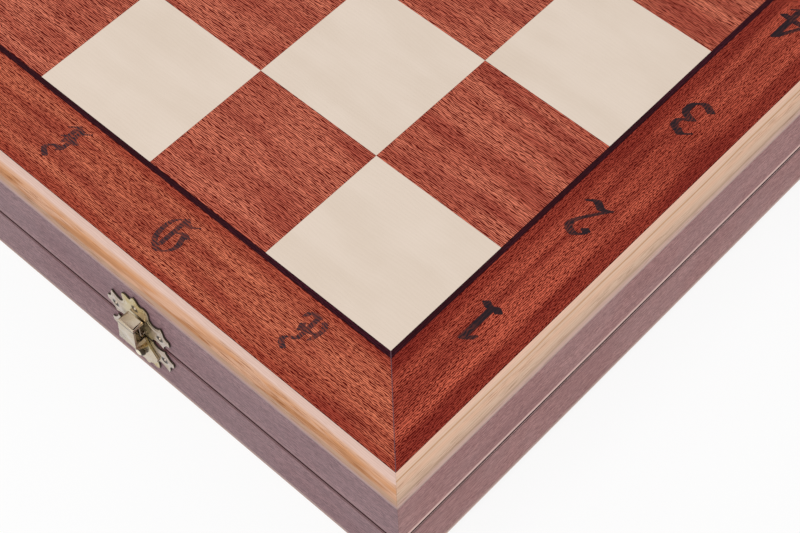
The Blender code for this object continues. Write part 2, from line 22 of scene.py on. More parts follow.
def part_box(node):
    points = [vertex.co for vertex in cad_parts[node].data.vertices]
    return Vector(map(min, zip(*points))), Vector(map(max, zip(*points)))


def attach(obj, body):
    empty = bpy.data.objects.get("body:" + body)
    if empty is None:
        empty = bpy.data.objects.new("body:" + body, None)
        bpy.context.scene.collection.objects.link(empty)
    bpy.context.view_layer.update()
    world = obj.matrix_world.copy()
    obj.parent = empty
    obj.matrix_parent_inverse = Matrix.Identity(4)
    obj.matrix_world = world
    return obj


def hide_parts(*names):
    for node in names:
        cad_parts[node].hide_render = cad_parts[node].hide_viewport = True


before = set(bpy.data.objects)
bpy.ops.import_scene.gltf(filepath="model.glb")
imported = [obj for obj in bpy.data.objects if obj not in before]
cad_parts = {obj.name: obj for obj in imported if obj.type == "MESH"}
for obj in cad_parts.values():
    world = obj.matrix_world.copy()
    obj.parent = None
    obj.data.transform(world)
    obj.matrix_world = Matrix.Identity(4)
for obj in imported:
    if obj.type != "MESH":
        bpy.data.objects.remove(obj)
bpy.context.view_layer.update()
LOG = logging.getLogger("chess_board")

MM = 0.001
Point2 = tuple[float, float]
Colour = tuple[float, float, float]


class Half(Enum):
    """The two trays."""

    UPPER = "upper"
    LOWER = "lower"


class End(Enum):
    """The two ends of the board, as the sign of X."""

    LEFT = -1
    RIGHT = 1

    @property
    def word(self) -> str:
        """The end's name in lower case."""
        return self.name.lower()


# Node trees


class Graph:
    """A node tree under construction, with short calls for the nodes used here."""

    def __init__(self, tree: bpy.types.NodeTree) -> None:
        """Keep the tree.

        Args:
            tree: The shader or geometry tree that gets the nodes.
        """
        self.tree = tree

    def feed(self, target: bpy.types.NodeSocket, value: object) -> None:
        """Link a socket to the target, or set the target's value."""
        if isinstance(value, bpy.types.NodeSocket):
            self.tree.links.new(value, target)
        else:
            target.default_value = value

    def add(self, kind: str, inputs: dict | None = None, **settings: object) -> bpy.types.Node:
        """Add a node.

        Args:
            kind: Blender's name of the node type.
            inputs: Values or sockets by input name or number.
            settings: Properties of the node, set before its inputs.

        Returns:
            The new node.
        """
        node = self.tree.nodes.new(kind)
        for name, value in settings.items():
            setattr(node, name, value)
        for key, value in (inputs or {}).items():
            self.feed(node.inputs[key], value)
        return node

    def maths(self, operation: str, *values: object) -> bpy.types.NodeSocket:
        """A Math node's result."""
        return self.add("ShaderNodeMath", dict(enumerate(values)), operation=operation).outputs[0]

    def vector(self, operation: str, *values: object) -> bpy.types.NodeSocket:
        """A Vector Math node's result."""
        return self.add("ShaderNodeVectorMath", dict(enumerate(values)), operation=operation).outputs[0]

    def combine(self, x: object, y: object, z: object) -> bpy.types.NodeSocket:
        """A vector from three values."""
        return self.add("ShaderNodeCombineXYZ", {0: x, 1: y, 2: z}).outputs[0]

    def spread(self, value: object, low: float, high: float, start: float = 0.0, end: float = 1.0):
        """Map a value from low and high to start and end, smoothly and clamped."""
        inputs = {0: value, 1: low, 2: high, 3: start, 4: end}
        return self.add("ShaderNodeMapRange", inputs, interpolation_type="SMOOTHSTEP").outputs[0]

    def noise(self, vector: object, detail: float = 2.0, roughness: float = 0.5, scale: float = 1.0):
        """A noise value over a vector that is already scaled."""
        inputs = {"Vector": vector, "Scale": scale, "Detail": detail, "Roughness": roughness}
        return self.add("ShaderNodeTexNoise", inputs).outputs["Fac"]

    def mix(self, share: object, first: object, second: object, blend: str = "MIX"):
        """Mix two colours."""
        inputs = {0: share, 6: opaque(first), 7: opaque(second)}
        return self.add("ShaderNodeMix", inputs, data_type="RGBA", blend_type=blend).outputs[2]

    def ramp(self, value: object, stops: Sequence[tuple[float, Colour]]) -> bpy.types.NodeSocket:
        """A colour that follows a value through stops of (place, colour)."""
        node = self.add("ShaderNodeValToRGB", {0: value})
        elements = node.color_ramp.elements
        while len(elements) < len(stops):
            elements.new(1.0)
        for element, (place, colour) in zip(elements, stops):
            element.position = place
            element.color = opaque(colour)
        return node.outputs[0]


def opaque(colour: object) -> object:
    """Add full opacity to a plain colour, and leave a socket as it is."""
    return (*colour, 1.0) if isinstance(colour, tuple) and len(colour) == 3 else colour


def shader_group(name: str, inputs: dict[str, object], outputs: Sequence[str]) -> tuple:
    """Start a shader group with float or vector inputs and float outputs.

    Args:
        name: The group's name.
        inputs: Default values by socket name; None makes a vector socket.
        outputs: Names of the value outputs.

    Returns:
        The graph, the input node's sockets and the output node's sockets.
    """
    tree = bpy.data.node_groups.new(name, "ShaderNodeTree")
    for key, value in inputs.items():
        kind = "NodeSocketVector" if value is None else "NodeSocketFloat"
        socket = tree.interface.new_socket(key, in_out="INPUT", socket_type=kind)
        if value is not None:
            socket.default_value = value
    for key in outputs:
        tree.interface.new_socket(key, in_out="OUTPUT", socket_type="NodeSocketFloat")
    graph = Graph(tree)
    return graph, graph.add("NodeGroupInput").outputs, graph.add("NodeGroupOutput").inputs


class Effects:
    """Shader groups that several finishes share, each built at its first use."""

    def __init__(self) -> None:
        """Start with no group built."""
        self.built: dict[str, bpy.types.NodeTree] = {}

    def place(self, graph: Graph, maker: Callable[[], bpy.types.NodeTree], inputs: dict):
        """Place a group in a material.

        Args:
            graph: The material's graph.
            maker: The method that builds the group.
            inputs: Values or sockets by input name.

        Returns:
            The group node's outputs.
        """
        name = maker.__name__
        if name not in self.built:
            self.built[name] = maker()
        node = graph.add("ShaderNodeGroup", node_tree=self.built[name])
        for key, value in inputs.items():
            graph.feed(node.inputs[key], value)
        return node.outputs

    @staticmethod
    def wood_figure() -> bpy.types.NodeTree:
        """Fibres, pores and broad bands of a veneer, along X of the grain vector."""
        inputs = {
            "Grain": None,
            "Fibre Length": 2.6 * MM,
            "Fibre Width": 0.5 * MM,
            "Band Length": 70 * MM,
            "Band Width": 9 * MM,
            "Waviness": 0.5 * MM,
        }
        outputs = ("Fibres", "Pores", "Bands")
        graph, given, result = shader_group("wood_figure", inputs, outputs)
        wave_size = graph.combine(1 / (45 * MM), 1 / (14 * MM), 1.0)
        wave = graph.noise(graph.vector("MULTIPLY", given["Grain"], wave_size), 1.0)
        shift = graph.maths("MULTIPLY", graph.maths("SUBTRACT", wave, 0.5), given["Waviness"])
        bent = graph.vector("ADD", given["Grain"], graph.combine(0.0, shift, 0.0))

        def stretched(length: object, width: object, depth: float) -> bpy.types.NodeSocket:
            size = graph.combine(graph.maths("DIVIDE", 1.0, length), graph.maths("DIVIDE", 1.0, width), depth)
            return graph.vector("MULTIPLY", bent, size)

        loose = graph.noise(stretched(given["Fibre Length"], given["Fibre Width"], 1.0), 1.0, 0.4)
        loose = graph.maths("MULTIPLY", graph.maths("SUBTRACT", loose, 0.5), 2.0)
        spacing = graph.maths("MULTIPLY", given["Fibre Width"], 2.2)
        broken = graph.noise(stretched(given["Fibre Length"], spacing, 7.0), 1.0, 0.4)
        across = graph.add("ShaderNodeSeparateXYZ", {0: bent}).outputs[1]
        turn = graph.maths("MULTIPLY", graph.maths("DIVIDE", across, given["Fibre Width"]), math.pi)
        lines = graph.maths("SINE", graph.maths("MULTIPLY_ADD", broken, 10.5, turn))
        fibres = graph.maths("MULTIPLY_ADD", lines, 0.80, loose)
        pore_length = graph.maths("MULTIPLY", given["Fibre Length"], 1.1)
        pore_width = graph.maths("MULTIPLY", given["Fibre Width"], 0.55)
        pores = graph.noise(stretched(pore_length, pore_width, 3.0), 1.0)
        bands = graph.noise(stretched(given["Band Length"], given["Band Width"], 5.0), 2.0, 0.45)
        graph.feed(result["Fibres"], graph.spread(fibres, -0.62, 0.50))
        graph.feed(result["Pores"], graph.spread(pores, 0.54, 0.64))
        graph.feed(result["Bands"], graph.spread(bands, 0.38, 0.62))
        return graph.tree

    @staticmethod
    def handling() -> bpy.types.NodeTree:
        """Soft smudges and fine specks that a lacquered or metal surface picks up."""
        inputs = {"Place": None, "Smudge Size": 40 * MM, "Speck Size": 0.8 * MM}
        graph, given, result = shader_group("handling", inputs, ("Smudges", "Specks"))
        for name, size, detail, low, high in (
            ("Smudges", "Smudge Size", 3.0, 0.35, 0.70),
            ("Specks", "Speck Size", 0.0, 0.70, 0.78),
        ):
            scale = graph.maths("DIVIDE", 1.0, given[size])
            noise = graph.noise(given["Place"], detail, 0.5, scale)
            graph.feed(result[name], graph.spread(noise, low, high))
        return graph.tree


EFFECTS = Effects()

# Where the grain vector of a rail, which counts round its section, meets the lip beside the
# side veneer, the arris at the rim, and the bare wood inside.
LIP_START = 13.0 * MM
LIP_END = 16.0 * MM
BARE_START = LIP_END + 0.5 * MM
END_GRAIN = BARE_START + 4 * MM
# Height of the side veneer below its sanded line.
FACING_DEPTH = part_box("upper_front_rail")[1][2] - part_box("upper_side_veneer")[0][2] - 7.55 * MM


# Finishes


@dataclass(frozen=True)
class Finish:
    """What every finish has: a name, its material slot in the record and its gloss."""

    name: str
    slot: str
    roughness: float = 0.4
    gloss: float = 0.35
    bump: float = 0.02 * MM

    def grain(self, graph: Graph) -> bpy.types.NodeSocket:
        """The grain vector that each wooden piece carries."""
        return graph.add("ShaderNodeAttribute", attribute_name="grain").outputs["Vector"]

    def place(self, graph: Graph) -> bpy.types.NodeSocket:
        """The place on the piece."""
        return graph.add("ShaderNodeTexCoord").outputs["Object"]

    def object_grain(self, graph: Graph) -> bpy.types.NodeSocket:
        """A grain vector along X from the place on the piece, which also runs down upright faces."""
        axes = graph.add("ShaderNodeSeparateXYZ", {0: self.place(graph)}).outputs
        across = graph.maths("MULTIPLY_ADD", axes[2], 1.3, axes[1])
        return graph.combine(axes[0], across, axes[2])

    def start(self) -> tuple[bpy.types.Material, Graph, bpy.types.Node]:
        """Start the material.

        Returns:
            The material, its graph and its Principled shader.
        """
        material = bpy.data.materials.new(self.name)
        material.use_nodes = True
        graph = Graph(material.node_tree)
        shader = material.node_tree.nodes["Principled BSDF"]
        shader.inputs["Specular IOR Level"].default_value = self.gloss
        return material, graph, shader

    def relief(self, graph: Graph, shader: bpy.types.Node, height: object) -> None:
        """Give the shader a normal from a height of 0 to 1."""
        bump = graph.add("ShaderNodeBump", {"Height": height, "Distance": self.bump, "Strength": 1.0})
        graph.feed(shader.inputs["Normal"], bump.outputs[0])

    def material(self) -> bpy.types.Material:
        """Build the material."""
        raise NotImplementedError


@dataclass(frozen=True)
class RibbonVeneer(Finish):
    """Open-pored veneer with fine dashes and broad bands: mahogany and the side veneer."""

    light: Colour = (0.50, 0.13, 0.07)
    dark: Colour = (0.20, 0.03, 0.02)
    band: Colour = (0.30, 0.05, 0.04)
    pore: Colour = (0.08, 0.01, 0.01)
    cloud: Colour = (0.24, 0.03, 0.04)
    seam: Colour = (0.15, 0.080, 0.095)
    band_share: float = 0.7
    pore_share: float = 0.6
    cloud_share: float = 0.0
    fibre_length: float = 2.6 * MM
    fibre_width: float = 0.42 * MM
    band_length: float = 50 * MM
    band_width: float = 7 * MM
    waviness: float = 0.5 * MM
    # Painted sheen and shade across a border: darker towards both margins, lighter along the middle.
    margins: tuple[float, float, float, float] | None = None
    mitre: float | None = None
    # Colour towards the rim of a side veneer: the pale sanded lip on the upper tray, and painted shade of the parting
    # gap on the lower tray.
    rim: Colour | None = None
    rim_start: float = FACING_DEPTH - 0.9 * MM
    rim_full: float = FACING_DEPTH - 0.3 * MM
    rim_share: float = 0.8

    def material(self) -> bpy.types.Material:
        """Fibres between the light and the dark colour, then bands and pores."""
        material, graph, shader = self.start()
        inputs = {
            "Grain": self.grain(graph),
            "Fibre Length": self.fibre_length,
            "Fibre Width": self.fibre_width,
            "Band Length": self.band_length,
            "Band Width": self.band_width,
            "Waviness": self.waviness,
        }
        figure = EFFECTS.place(graph, Effects.wood_figure, inputs)
        bands = figure["Bands"]
        # Painted sheen and shade: the border is darker towards both margins and lighter along its middle.
        if self.margins:
            across = graph.add("ShaderNodeSeparateXYZ", {0: inputs["Grain"]}).outputs[1]
            outer = graph.spread(across, *self.margins[:2], 1.0, 0.0)
            inner = graph.spread(across, *self.margins[2:])
            bands = graph.maths("ADD", graph.maths("MULTIPLY", bands, 0.6), graph.maths("ADD", outer, inner))
            bands = graph.maths("MINIMUM", bands, 1.0)
        lit = graph.mix(graph.maths("MULTIPLY", bands, self.band_share), self.light, self.band)
        drift = graph.noise(graph.vector("MULTIPLY", inputs["Grain"], (1 / (55 * MM), 1 / (8 * MM), 2.0)), 2.0)
        lit = graph.mix(graph.spread(drift, 0.46, 0.66, 0.0, self.cloud_share), lit, self.cloud)
        colour = graph.mix(figure["Fibres"], self.dark, lit)
        pores = graph.maths("MULTIPLY", figure["Pores"], self.pore_share)
        colour = graph.mix(pores, colour, self.pore)
        if self.mitre is not None:
            colour = graph.mix(self.seam_mask(graph), colour, self.seam)
        # Towards the rim: the upper tray's pale lip, and on the lower tray painted shade of the parting gap.
        if self.rim is not None:
            across = graph.add("ShaderNodeSeparateXYZ", {0: inputs["Grain"]}).outputs[1]
            edge = graph.spread(across, self.rim_start, self.rim_full, 0.0, self.rim_share)
            colour = graph.mix(edge, colour, self.rim)
        graph.feed(shader.inputs["Base Color"], colour)
        worn = EFFECTS.place(graph, Effects.handling, {"Place": self.place(graph)})
        rough = graph.spread(worn["Smudges"], 0.0, 1.0, self.roughness - 0.05, self.roughness + 0.07)
        graph.feed(shader.inputs["Roughness"], graph.maths("ADD", rough, graph.maths("MULTIPLY", pores, 0.25)))
        self.relief(graph, shader, graph.maths("SUBTRACT", figure["Fibres"], pores))
        return material

    def seam_mask(self, graph: Graph) -> bpy.types.NodeSocket:
        """1 on the mitred seams, where |x| + y is the mitre's sum, and 0 away from them."""
        axes = graph.add("ShaderNodeSeparateXYZ", {0: self.place(graph)}).outputs
        total = graph.maths("ADD", graph.maths("ABSOLUTE", axes[0]), axes[1])
        away = graph.maths("ABSOLUTE", graph.maths("SUBTRACT", total, self.mitre))
        return graph.spread(away, 0.12 * MM, 0.34 * MM, 0.8, 0.0)


@dataclass(frozen=True)
class PaleVeneer(Finish):
    """Plain pale maple: a faint fibre, soft flames and a few flecks."""

    light: Colour = (0.75, 0.63, 0.51)
    dark: Colour = (0.68, 0.55, 0.43)

    def material(self) -> bpy.types.Material:
        """A weak figure in the pale colour."""
        material, graph, shader = self.start()
        inputs = {
            "Grain": self.grain(graph),
            "Fibre Length": 9 * MM,
            "Fibre Width": 0.7 * MM,
            "Band Length": 60 * MM,
            "Band Width": 16 * MM,
            "Waviness": 6 * MM,
        }
        figure = EFFECTS.place(graph, Effects.wood_figure, inputs)
        worn = EFFECTS.place(graph, Effects.handling, {"Place": self.grain(graph), "Smudge Size": 22 * MM})
        share = graph.maths("MULTIPLY", figure["Fibres"], 0.10)
        share = graph.maths("ADD", share, graph.maths("MULTIPLY", figure["Bands"], 0.40))
        share = graph.maths("ADD", share, graph.maths("MULTIPLY", worn["Smudges"], 0.25))
        colour = graph.mix(share, self.light, self.dark)
        graph.feed(shader.inputs["Base Color"], colour)
        rough = graph.spread(worn["Smudges"], 0.0, 1.0, self.roughness - 0.04, self.roughness + 0.05)
        graph.feed(shader.inputs["Roughness"], rough)
        self.relief(graph, shader, figure["Fibres"])
        return material


@dataclass(frozen=True)
class StreakedPine(Finish):
    """Pale solid wood of the rails, with growth streaks that follow the rounded edge."""

    stops: tuple[tuple[float, Colour], ...] = ((0.0, (0.8, 0.7, 0.6)), (1.0, (0.7, 0.6, 0.5)))
    lip: Colour = (0.6, 0.46, 0.4)
    # Painted shade: the dark rim chamfer stands for the shadow in the parting gap.
    rim: Colour = (0.045, 0.008, 0.010)
    bare: Colour = (0.72, 0.58, 0.42)
    knot: Colour = (0.26, 0.07, 0.025)
    span: float = 10.4 * MM
    wander: float = 0.9 * MM
    rim_start: float = LIP_END - 0.35 * MM
    line: Colour = (0.30, 0.13, 0.05)
    line_share: float = 0.5
    fade: Colour | None = None
    knots: tuple[tuple[float, float, float], ...] = ()

    def material(self) -> bpy.types.Material:
        """Colours across the rounded edge that wander along it, crossed by fine dark lines."""
        material, graph, shader = self.start()
        grain = self.grain(graph)
        slow = graph.noise(graph.vector("MULTIPLY", grain, (1 / (70 * MM), 1 / (30 * MM), 1.0)), 2.0)
        across = graph.add("ShaderNodeSeparateXYZ", {0: grain}).outputs[1]
        drift = graph.maths("MULTIPLY", graph.maths("SUBTRACT", slow, 0.5), 2 * self.wander)
        place = graph.maths("DIVIDE", graph.maths("ADD", across, drift), self.span)
        colour = graph.ramp(place, self.stops)
        if self.fade:
            patches = graph.noise(graph.vector("MULTIPLY", grain, (1 / (26 * MM), 1 / (2.2 * MM), 3.0)), 2.0)
            middle = graph.spread(graph.maths("ABSOLUTE", graph.maths("SUBTRACT", place, 0.5)), 0.12, 0.26, 1.0, 0.0)
            colour = graph.mix(graph.maths("MULTIPLY", graph.spread(patches, 0.44, 0.62, 0.0, 0.8), middle), colour, self.fade)
        inputs = {
            "Grain": grain,
            "Fibre Length": 8 * MM,
            "Fibre Width": 0.34 * MM,
            "Band Length": 60 * MM,
            "Band Width": 2.4 * MM,
            "Waviness": 1.0 * MM,
        }
        figure = EFFECTS.place(graph, Effects.wood_figure, inputs)
        soft = graph.maths("MULTIPLY", graph.maths("SUBTRACT", 1.0, figure["Fibres"]), 0.14)
        colour = graph.mix(soft, colour, self.line)
        below = graph.spread(place, 0.22, 0.36)
        zone = graph.maths("MULTIPLY", graph.maths("MULTIPLY", figure["Pores"], figure["Bands"]), below)
        colour = graph.mix(graph.maths("MULTIPLY", zone, self.line_share), colour, self.line)
        for knot in self.knots:
            apart = graph.vector("MULTIPLY", graph.vector("SUBTRACT", grain, knot), (1 / (2.6 * MM), 1 / (0.8 * MM), 1.0))
            near = graph.spread(graph.vector("LENGTH", apart), 0.45, 1.25, 0.85, 0.0)
            colour = graph.mix(near, colour, self.knot)
        # The lip, then the rim's chamfer painted dark as painted shade of the parting gap, then the bare wood inside.
        for start, tone in ((LIP_START, self.lip), (self.rim_start, self.rim), (BARE_START, self.bare)):
            colour = graph.mix(graph.maths("GREATER_THAN", across, start), colour, tone)
        graph.feed(shader.inputs["Base Color"], colour)
        shader.inputs["Roughness"].default_value = self.roughness
        self.relief(graph, shader, figure["Fibres"])
        return material


@dataclass(frozen=True)
class BareWood(Finish):
    """Unfinished pale wood on carried pieces, read from the place on the object."""

    light: Colour = (0.72, 0.58, 0.42)
    dark: Colour = (0.55, 0.38, 0.24)
    on_object: bool = True

    def material(self) -> bpy.types.Material:
        """Long fibres along X."""
        material, graph, shader = self.start()
        inputs = {
            "Grain": self.object_grain(graph) if self.on_object else self.grain(graph),
            "Fibre Length": 22 * MM,
            "Fibre Width": 0.7 * MM,
            "Band Length": 160 * MM,
            "Band Width": 6 * MM,
        }
        figure = EFFECTS.place(graph, Effects.wood_figure, inputs)
        share = graph.maths("MULTIPLY", figure["Fibres"], 0.45)
        share = graph.maths("ADD", share, graph.maths("MULTIPLY", figure["Bands"], 0.35))
        graph.feed(shader.inputs["Base Color"], graph.mix(share, self.light, self.dark))
        shader.inputs["Roughness"].default_value = self.roughness
        self.relief(graph, shader, figure["Fibres"])
        return material


@dataclass(frozen=True)
class PlyBoard(Finish):
    """Layered board of the panels: pale faces, and plies of two tones on its edges."""

    face: Colour = (0.66, 0.50, 0.34)
    ply: Colour = (0.42, 0.26, 0.15)
    ply_height: float = 1.25 * MM

    def material(self) -> bpy.types.Material:
        """Plies by height, with fibres along X."""
        material, graph, shader = self.start()
        height = graph.add("ShaderNodeSeparateXYZ", {0: self.place(graph)}).outputs[2]
        wave = graph.maths("SINE", graph.maths("MULTIPLY", height, math.tau / (2 * self.ply_height)))
        layers = graph.spread(wave, -0.1, 0.1)
        inputs = {"Grain": self.object_grain(graph), "Fibre Length": 12 * MM, "Fibre Width": 0.6 * MM}
        figure = EFFECTS.place(graph, Effects.wood_figure, inputs)
        share = graph.maths("MULTIPLY", layers, 0.6)
        colour = graph.mix(share, self.face, self.ply)
        colour = graph.mix(graph.maths("MULTIPLY", figure["Fibres"], 0.3), colour, self.ply)
        graph.feed(shader.inputs["Base Color"], colour)
        shader.inputs["Roughness"].default_value = self.roughness
        self.relief(graph, shader, figure["Fibres"])
        return material


@dataclass(frozen=True)
class StampedInk(Finish):
    """Dark ink of the coordinates, thin where it sank into the pores."""

    ink: Colour = (0.018, 0.012, 0.016)
    wood: Colour = (0.16, 0.035, 0.024)
    wear: tuple[float, float] = (0.10, 0.75)

    def material(self) -> bpy.types.Material:
        """Ink with some of the wood's fibres showing through."""
        material, graph, shader = self.start()
        inputs = {"Grain": self.grain(graph), "Fibre Length": 2.2 * MM, "Fibre Width": 0.55 * MM}
        figure = EFFECTS.place(graph, Effects.wood_figure, inputs)
        worn = EFFECTS.place(graph, Effects.handling, {"Place": self.place(graph), "Smudge Size": 7 * MM})
        thin = graph.maths("MULTIPLY", figure["Fibres"], graph.spread(worn["Smudges"], 0.0, 1.0, *self.wear))
        graph.feed(shader.inputs["Base Color"], graph.mix(thin, self.ink, self.wood))
        shader.inputs["Roughness"].default_value = self.roughness
        self.relief(graph, shader, figure["Fibres"])
        return material


@dataclass(frozen=True)
class WoolFelt(Finish):
    """Felt of the linings: matted fibres with a soft sheen."""

    light: Colour = (0.045, 0.115, 0.062)
    dark: Colour = (0.018, 0.055, 0.028)

    def material(self) -> bpy.types.Material:
        """Short tangled fibres in two greens."""
        material, graph, shader = self.start()
        place = self.place(graph)
        tangle = graph.noise(place, 5.0, 0.7, 1 / (1.3 * MM))
        cloud = graph.noise(place, 2.0, 0.5, 1 / (35 * MM))
        share = graph.maths("ADD", graph.spread(tangle, 0.3, 0.7, 0.0, 0.75), graph.maths("MULTIPLY", cloud, 0.3))
        graph.feed(shader.inputs["Base Color"], graph.mix(share, self.dark, self.light))
        shader.inputs["Roughness"].default_value = self.roughness
        shader.inputs["Sheen Weight"].default_value = 0.35
        shader.inputs["Sheen Roughness"].default_value = 0.45
        self.relief(graph, shader, tangle)
        return material


@dataclass(frozen=True)
class StampedBrass(Finish):
    """Thin plated brass: silvery where it is worn, yellow where the plating holds, and darkened by soil and painted
    shade in its hollows, on its edges and beside the arm.
    """

    worn: Colour = (0.445, 0.360, 0.305)
    yellow: Colour = (0.50, 0.39, 0.19)
    tarnish: Colour = (0.20, 0.15, 0.08)
    soil: Colour = (0.022, 0.013, 0.006)
    line_level: float | None = None

    def material(self) -> bpy.types.Material:
        """Worn plating with yellow places and specks, darkened where the mesh marks soil and painted shade."""
        material, graph, shader = self.start()
        place = self.place(graph)
        inputs = {"Place": place, "Smudge Size": 6 * MM, "Speck Size": 0.45 * MM}
        marks = EFFECTS.place(graph, Effects.handling, inputs)
        gilt = graph.add("ShaderNodeAttribute", attribute_name="gilt").outputs["Fac"]
        share = graph.maths("MULTIPLY_ADD", marks["Smudges"], 0.30, gilt)
        colour = graph.mix(graph.maths("MINIMUM", share, 1.0), self.worn, self.yellow)
        colour = graph.mix(graph.maths("MULTIPLY", marks["Specks"], 0.15), colour, self.tarnish)
        # The darkening attribute holds soil and painted shade: painted shade on plate edges and sides, a painted shadow
        # beside the arm, soil and shade round the nails, and a painted dark reflection on the rivet.
        soil = graph.add("ShaderNodeAttribute", attribute_name="soil").outputs["Fac"]
        colour = graph.mix(soil, colour, self.soil)
        # Painted shade: a dark line across the hood's front wall just under its top edge.
        if self.line_level is not None:
            height = graph.add("ShaderNodeSeparateXYZ", {0: place}).outputs[2]
            away = graph.maths("ABSOLUTE", graph.maths("SUBTRACT", height, self.line_level))
            colour = graph.mix(graph.spread(away, 0.15 * MM, 0.40 * MM, 0.9, 0.0), colour, self.soil)
        graph.feed(shader.inputs["Base Color"], colour)
        graph.feed(shader.inputs["Metallic"], graph.maths("SUBTRACT", 1.0, soil))
        rough = graph.spread(marks["Smudges"], 0.0, 1.0, self.roughness - 0.06, self.roughness + 0.10)
        graph.feed(shader.inputs["Roughness"], graph.maths("ADD", rough, graph.maths("MULTIPLY", marks["Specks"], 0.3)))
        grind = graph.noise(place, 3.0, 0.6, 1 / (0.9 * MM))
        self.relief(graph, shader, grind)
        return material


PINK_WHITE_AND_HIGHLIGHT = (0.81, 0.60, 0.52)
PALE_PEACH = (0.74, 0.47, 0.33)
ORANGE_TAN = (0.66, 0.34, 0.17)
BROWN_TAN = (0.50, 0.25, 0.12)
OLIVE_CREAM = (0.50, 0.34, 0.24)
LILAC_CREAM = (0.49, 0.34, 0.31)
WARM_CREAM = (0.71, 0.50, 0.37)
LINE_PINK = (0.38, 0.27, 0.26)
MAUVE = (0.26, 0.155, 0.165)

CORNER_LOW, CORNER_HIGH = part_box("upper_border_veneer")
MITRE_SUM = CORNER_HIGH[0] + CORNER_LOW[1]

MAPLE = PaleVeneer("maple_squares", "maple", 0.42, 0.12, light=(0.76, 0.640, 0.540), dark=(0.69, 0.570, 0.465))
MAHOGANY = RibbonVeneer(
    "mahogany_squares", "mahogany", 0.42, 0.04, light=(0.725, 0.205, 0.122), dark=(0.088, 0.002, 0.001),
    band=(0.42, 0.075, 0.045), pore=(0.10, 0.003, 0.001), cloud=(0.30, 0.036, 0.028), cloud_share=0.40,
    pore_share=0.04, band_share=0.6, fibre_length=3.2 * MM, fibre_width=0.33 * MM, waviness=0.3 * MM,
)
MAHOGANY_FRONT = RibbonVeneer(
    "mahogany_front_border", "mahogany", 0.42, 0.04, light=(0.72, 0.196, 0.104), dark=(0.090, 0.002, 0.001),
    band=(0.34, 0.040, 0.022), pore=(0.08, 0.003, 0.001), cloud=(0.28, 0.030, 0.022), cloud_share=0.5,
    pore_share=0.04, fibre_length=2.6 * MM, fibre_width=0.30 * MM, band_length=90 * MM, band_width=6 * MM, margins=(0.4 * MM, 6 * MM, 25 * MM, 31 * MM),
    mitre=MITRE_SUM,
)
MAHOGANY_END = RibbonVeneer(
    "mahogany_end_border", "mahogany", 0.42, 0.04, light=(0.62, 0.122, 0.068), dark=(0.078, 0.002, 0.001),
    band=(0.24, 0.022, 0.014), pore=(0.05, 0.002, 0.001), cloud=(0.18, 0.015, 0.012), cloud_share=0.5,
    pore_share=0.06, fibre_length=1.5 * MM, fibre_width=0.32 * MM, waviness=1.4 * MM, band_length=90 * MM,
    band_width=7 * MM, margins=(1.0 * MM, 9 * MM, 21 * MM, 30 * MM), mitre=MITRE_SUM,
)
STRINGING = RibbonVeneer(
    "dark_stringing", "stringing", 0.5, 0.04, light=(0.050, 0.008, 0.016), dark=(0.020, 0.003, 0.006),
    band=(0.028, 0.005, 0.006), pore=(0.01, 0.002, 0.003), mitre=MITRE_SUM,
)
SIDE_FIELDS = {
    "slot": "side_veneer", "roughness": 0.5, "gloss": 0.12, "band_share": 0.5, "pore_share": 0.35,
    "fibre_length": 3.0 * MM, "fibre_width": 0.42 * MM, "band_width": 9 * MM, "cloud_share": 0.3,
}
# Lit and shaded copies of one side veneer: the end copy is painted lighter and pinker than the front copy, as painted
# light.
FRONT_VENEER_SHADED_COPY = RibbonVeneer(
    "front_side_veneer", light=(0.34, 0.198, 0.212), dark=(0.15, 0.083, 0.092), band=(0.25, 0.142, 0.160),
    pore=(0.09, 0.048, 0.052), cloud=(0.22, 0.13, 0.15), **SIDE_FIELDS,
)
END_VENEER_LIT_COPY = RibbonVeneer(
    "end_side_veneer", light=(0.52, 0.270, 0.258), dark=(0.25, 0.116, 0.114), band=(0.40, 0.205, 0.200),
    pore=(0.15, 0.066, 0.066), cloud=(0.34, 0.16, 0.17), **SIDE_FIELDS,
)
# Painted shade: the lower side veneers darken towards the parting line, where the gap's shadow falls.
PAINTED_SHADE_RIM = {"rim": (0.105, 0.028, 0.028), "rim_start": FACING_DEPTH - 0.75 * MM, "rim_full": FACING_DEPTH - 0.45 * MM}
SIDE_VENEERS = {
    Half.UPPER: (replace(FRONT_VENEER_SHADED_COPY, rim=(0.42, 0.25, 0.25), rim_share=0.4), replace(END_VENEER_LIT_COPY, rim=(0.78, 0.50, 0.46))),
    Half.LOWER: (
        replace(FRONT_VENEER_SHADED_COPY, name="lower_front_side_veneer", **PAINTED_SHADE_RIM),
        replace(END_VENEER_LIT_COPY, name="lower_end_side_veneer", **PAINTED_SHADE_RIM),
    ),
}
# Lit and shaded copies of the sanded line: the end copy is painted lighter than the front copy.
FRONT_SANDED_LINE_SHADED_COPY = BareWood(
    "sanded_veneer_line", "side_veneer", 0.5, 0.12, light=LINE_PINK, dark=(0.30, 0.21, 0.20), on_object=False
)
END_SANDED_LINE_LIT_COPY = replace(FRONT_SANDED_LINE_SHADED_COPY, name="end_sanded_line", light=(0.52, 0.355, 0.315), dark=(0.42, 0.28, 0.25))
FRONT_PINE = StreakedPine(
    "front_rail_wood", "pale_wood", 0.45, 0.12, lip=MAUVE, line=(0.24, 0.09, 0.03), line_share=0.85,
    fade=PALE_PEACH, knots=((0.2620, 0.0058, 4.0),),
    # The pale first stops hold the wood's own pale tone and a painted highlight along the top of the rounded edge.
    stops=(
        (0.00, PINK_WHITE_AND_HIGHLIGHT), (0.24, PINK_WHITE_AND_HIGHLIGHT), (0.31, PALE_PEACH), (0.42, ORANGE_TAN), (0.54, BROWN_TAN),
        (0.64, BROWN_TAN), (0.72, OLIVE_CREAM), (0.82, OLIVE_CREAM), (0.92, LILAC_CREAM), (1.00, LILAC_CREAM),
    ),
)
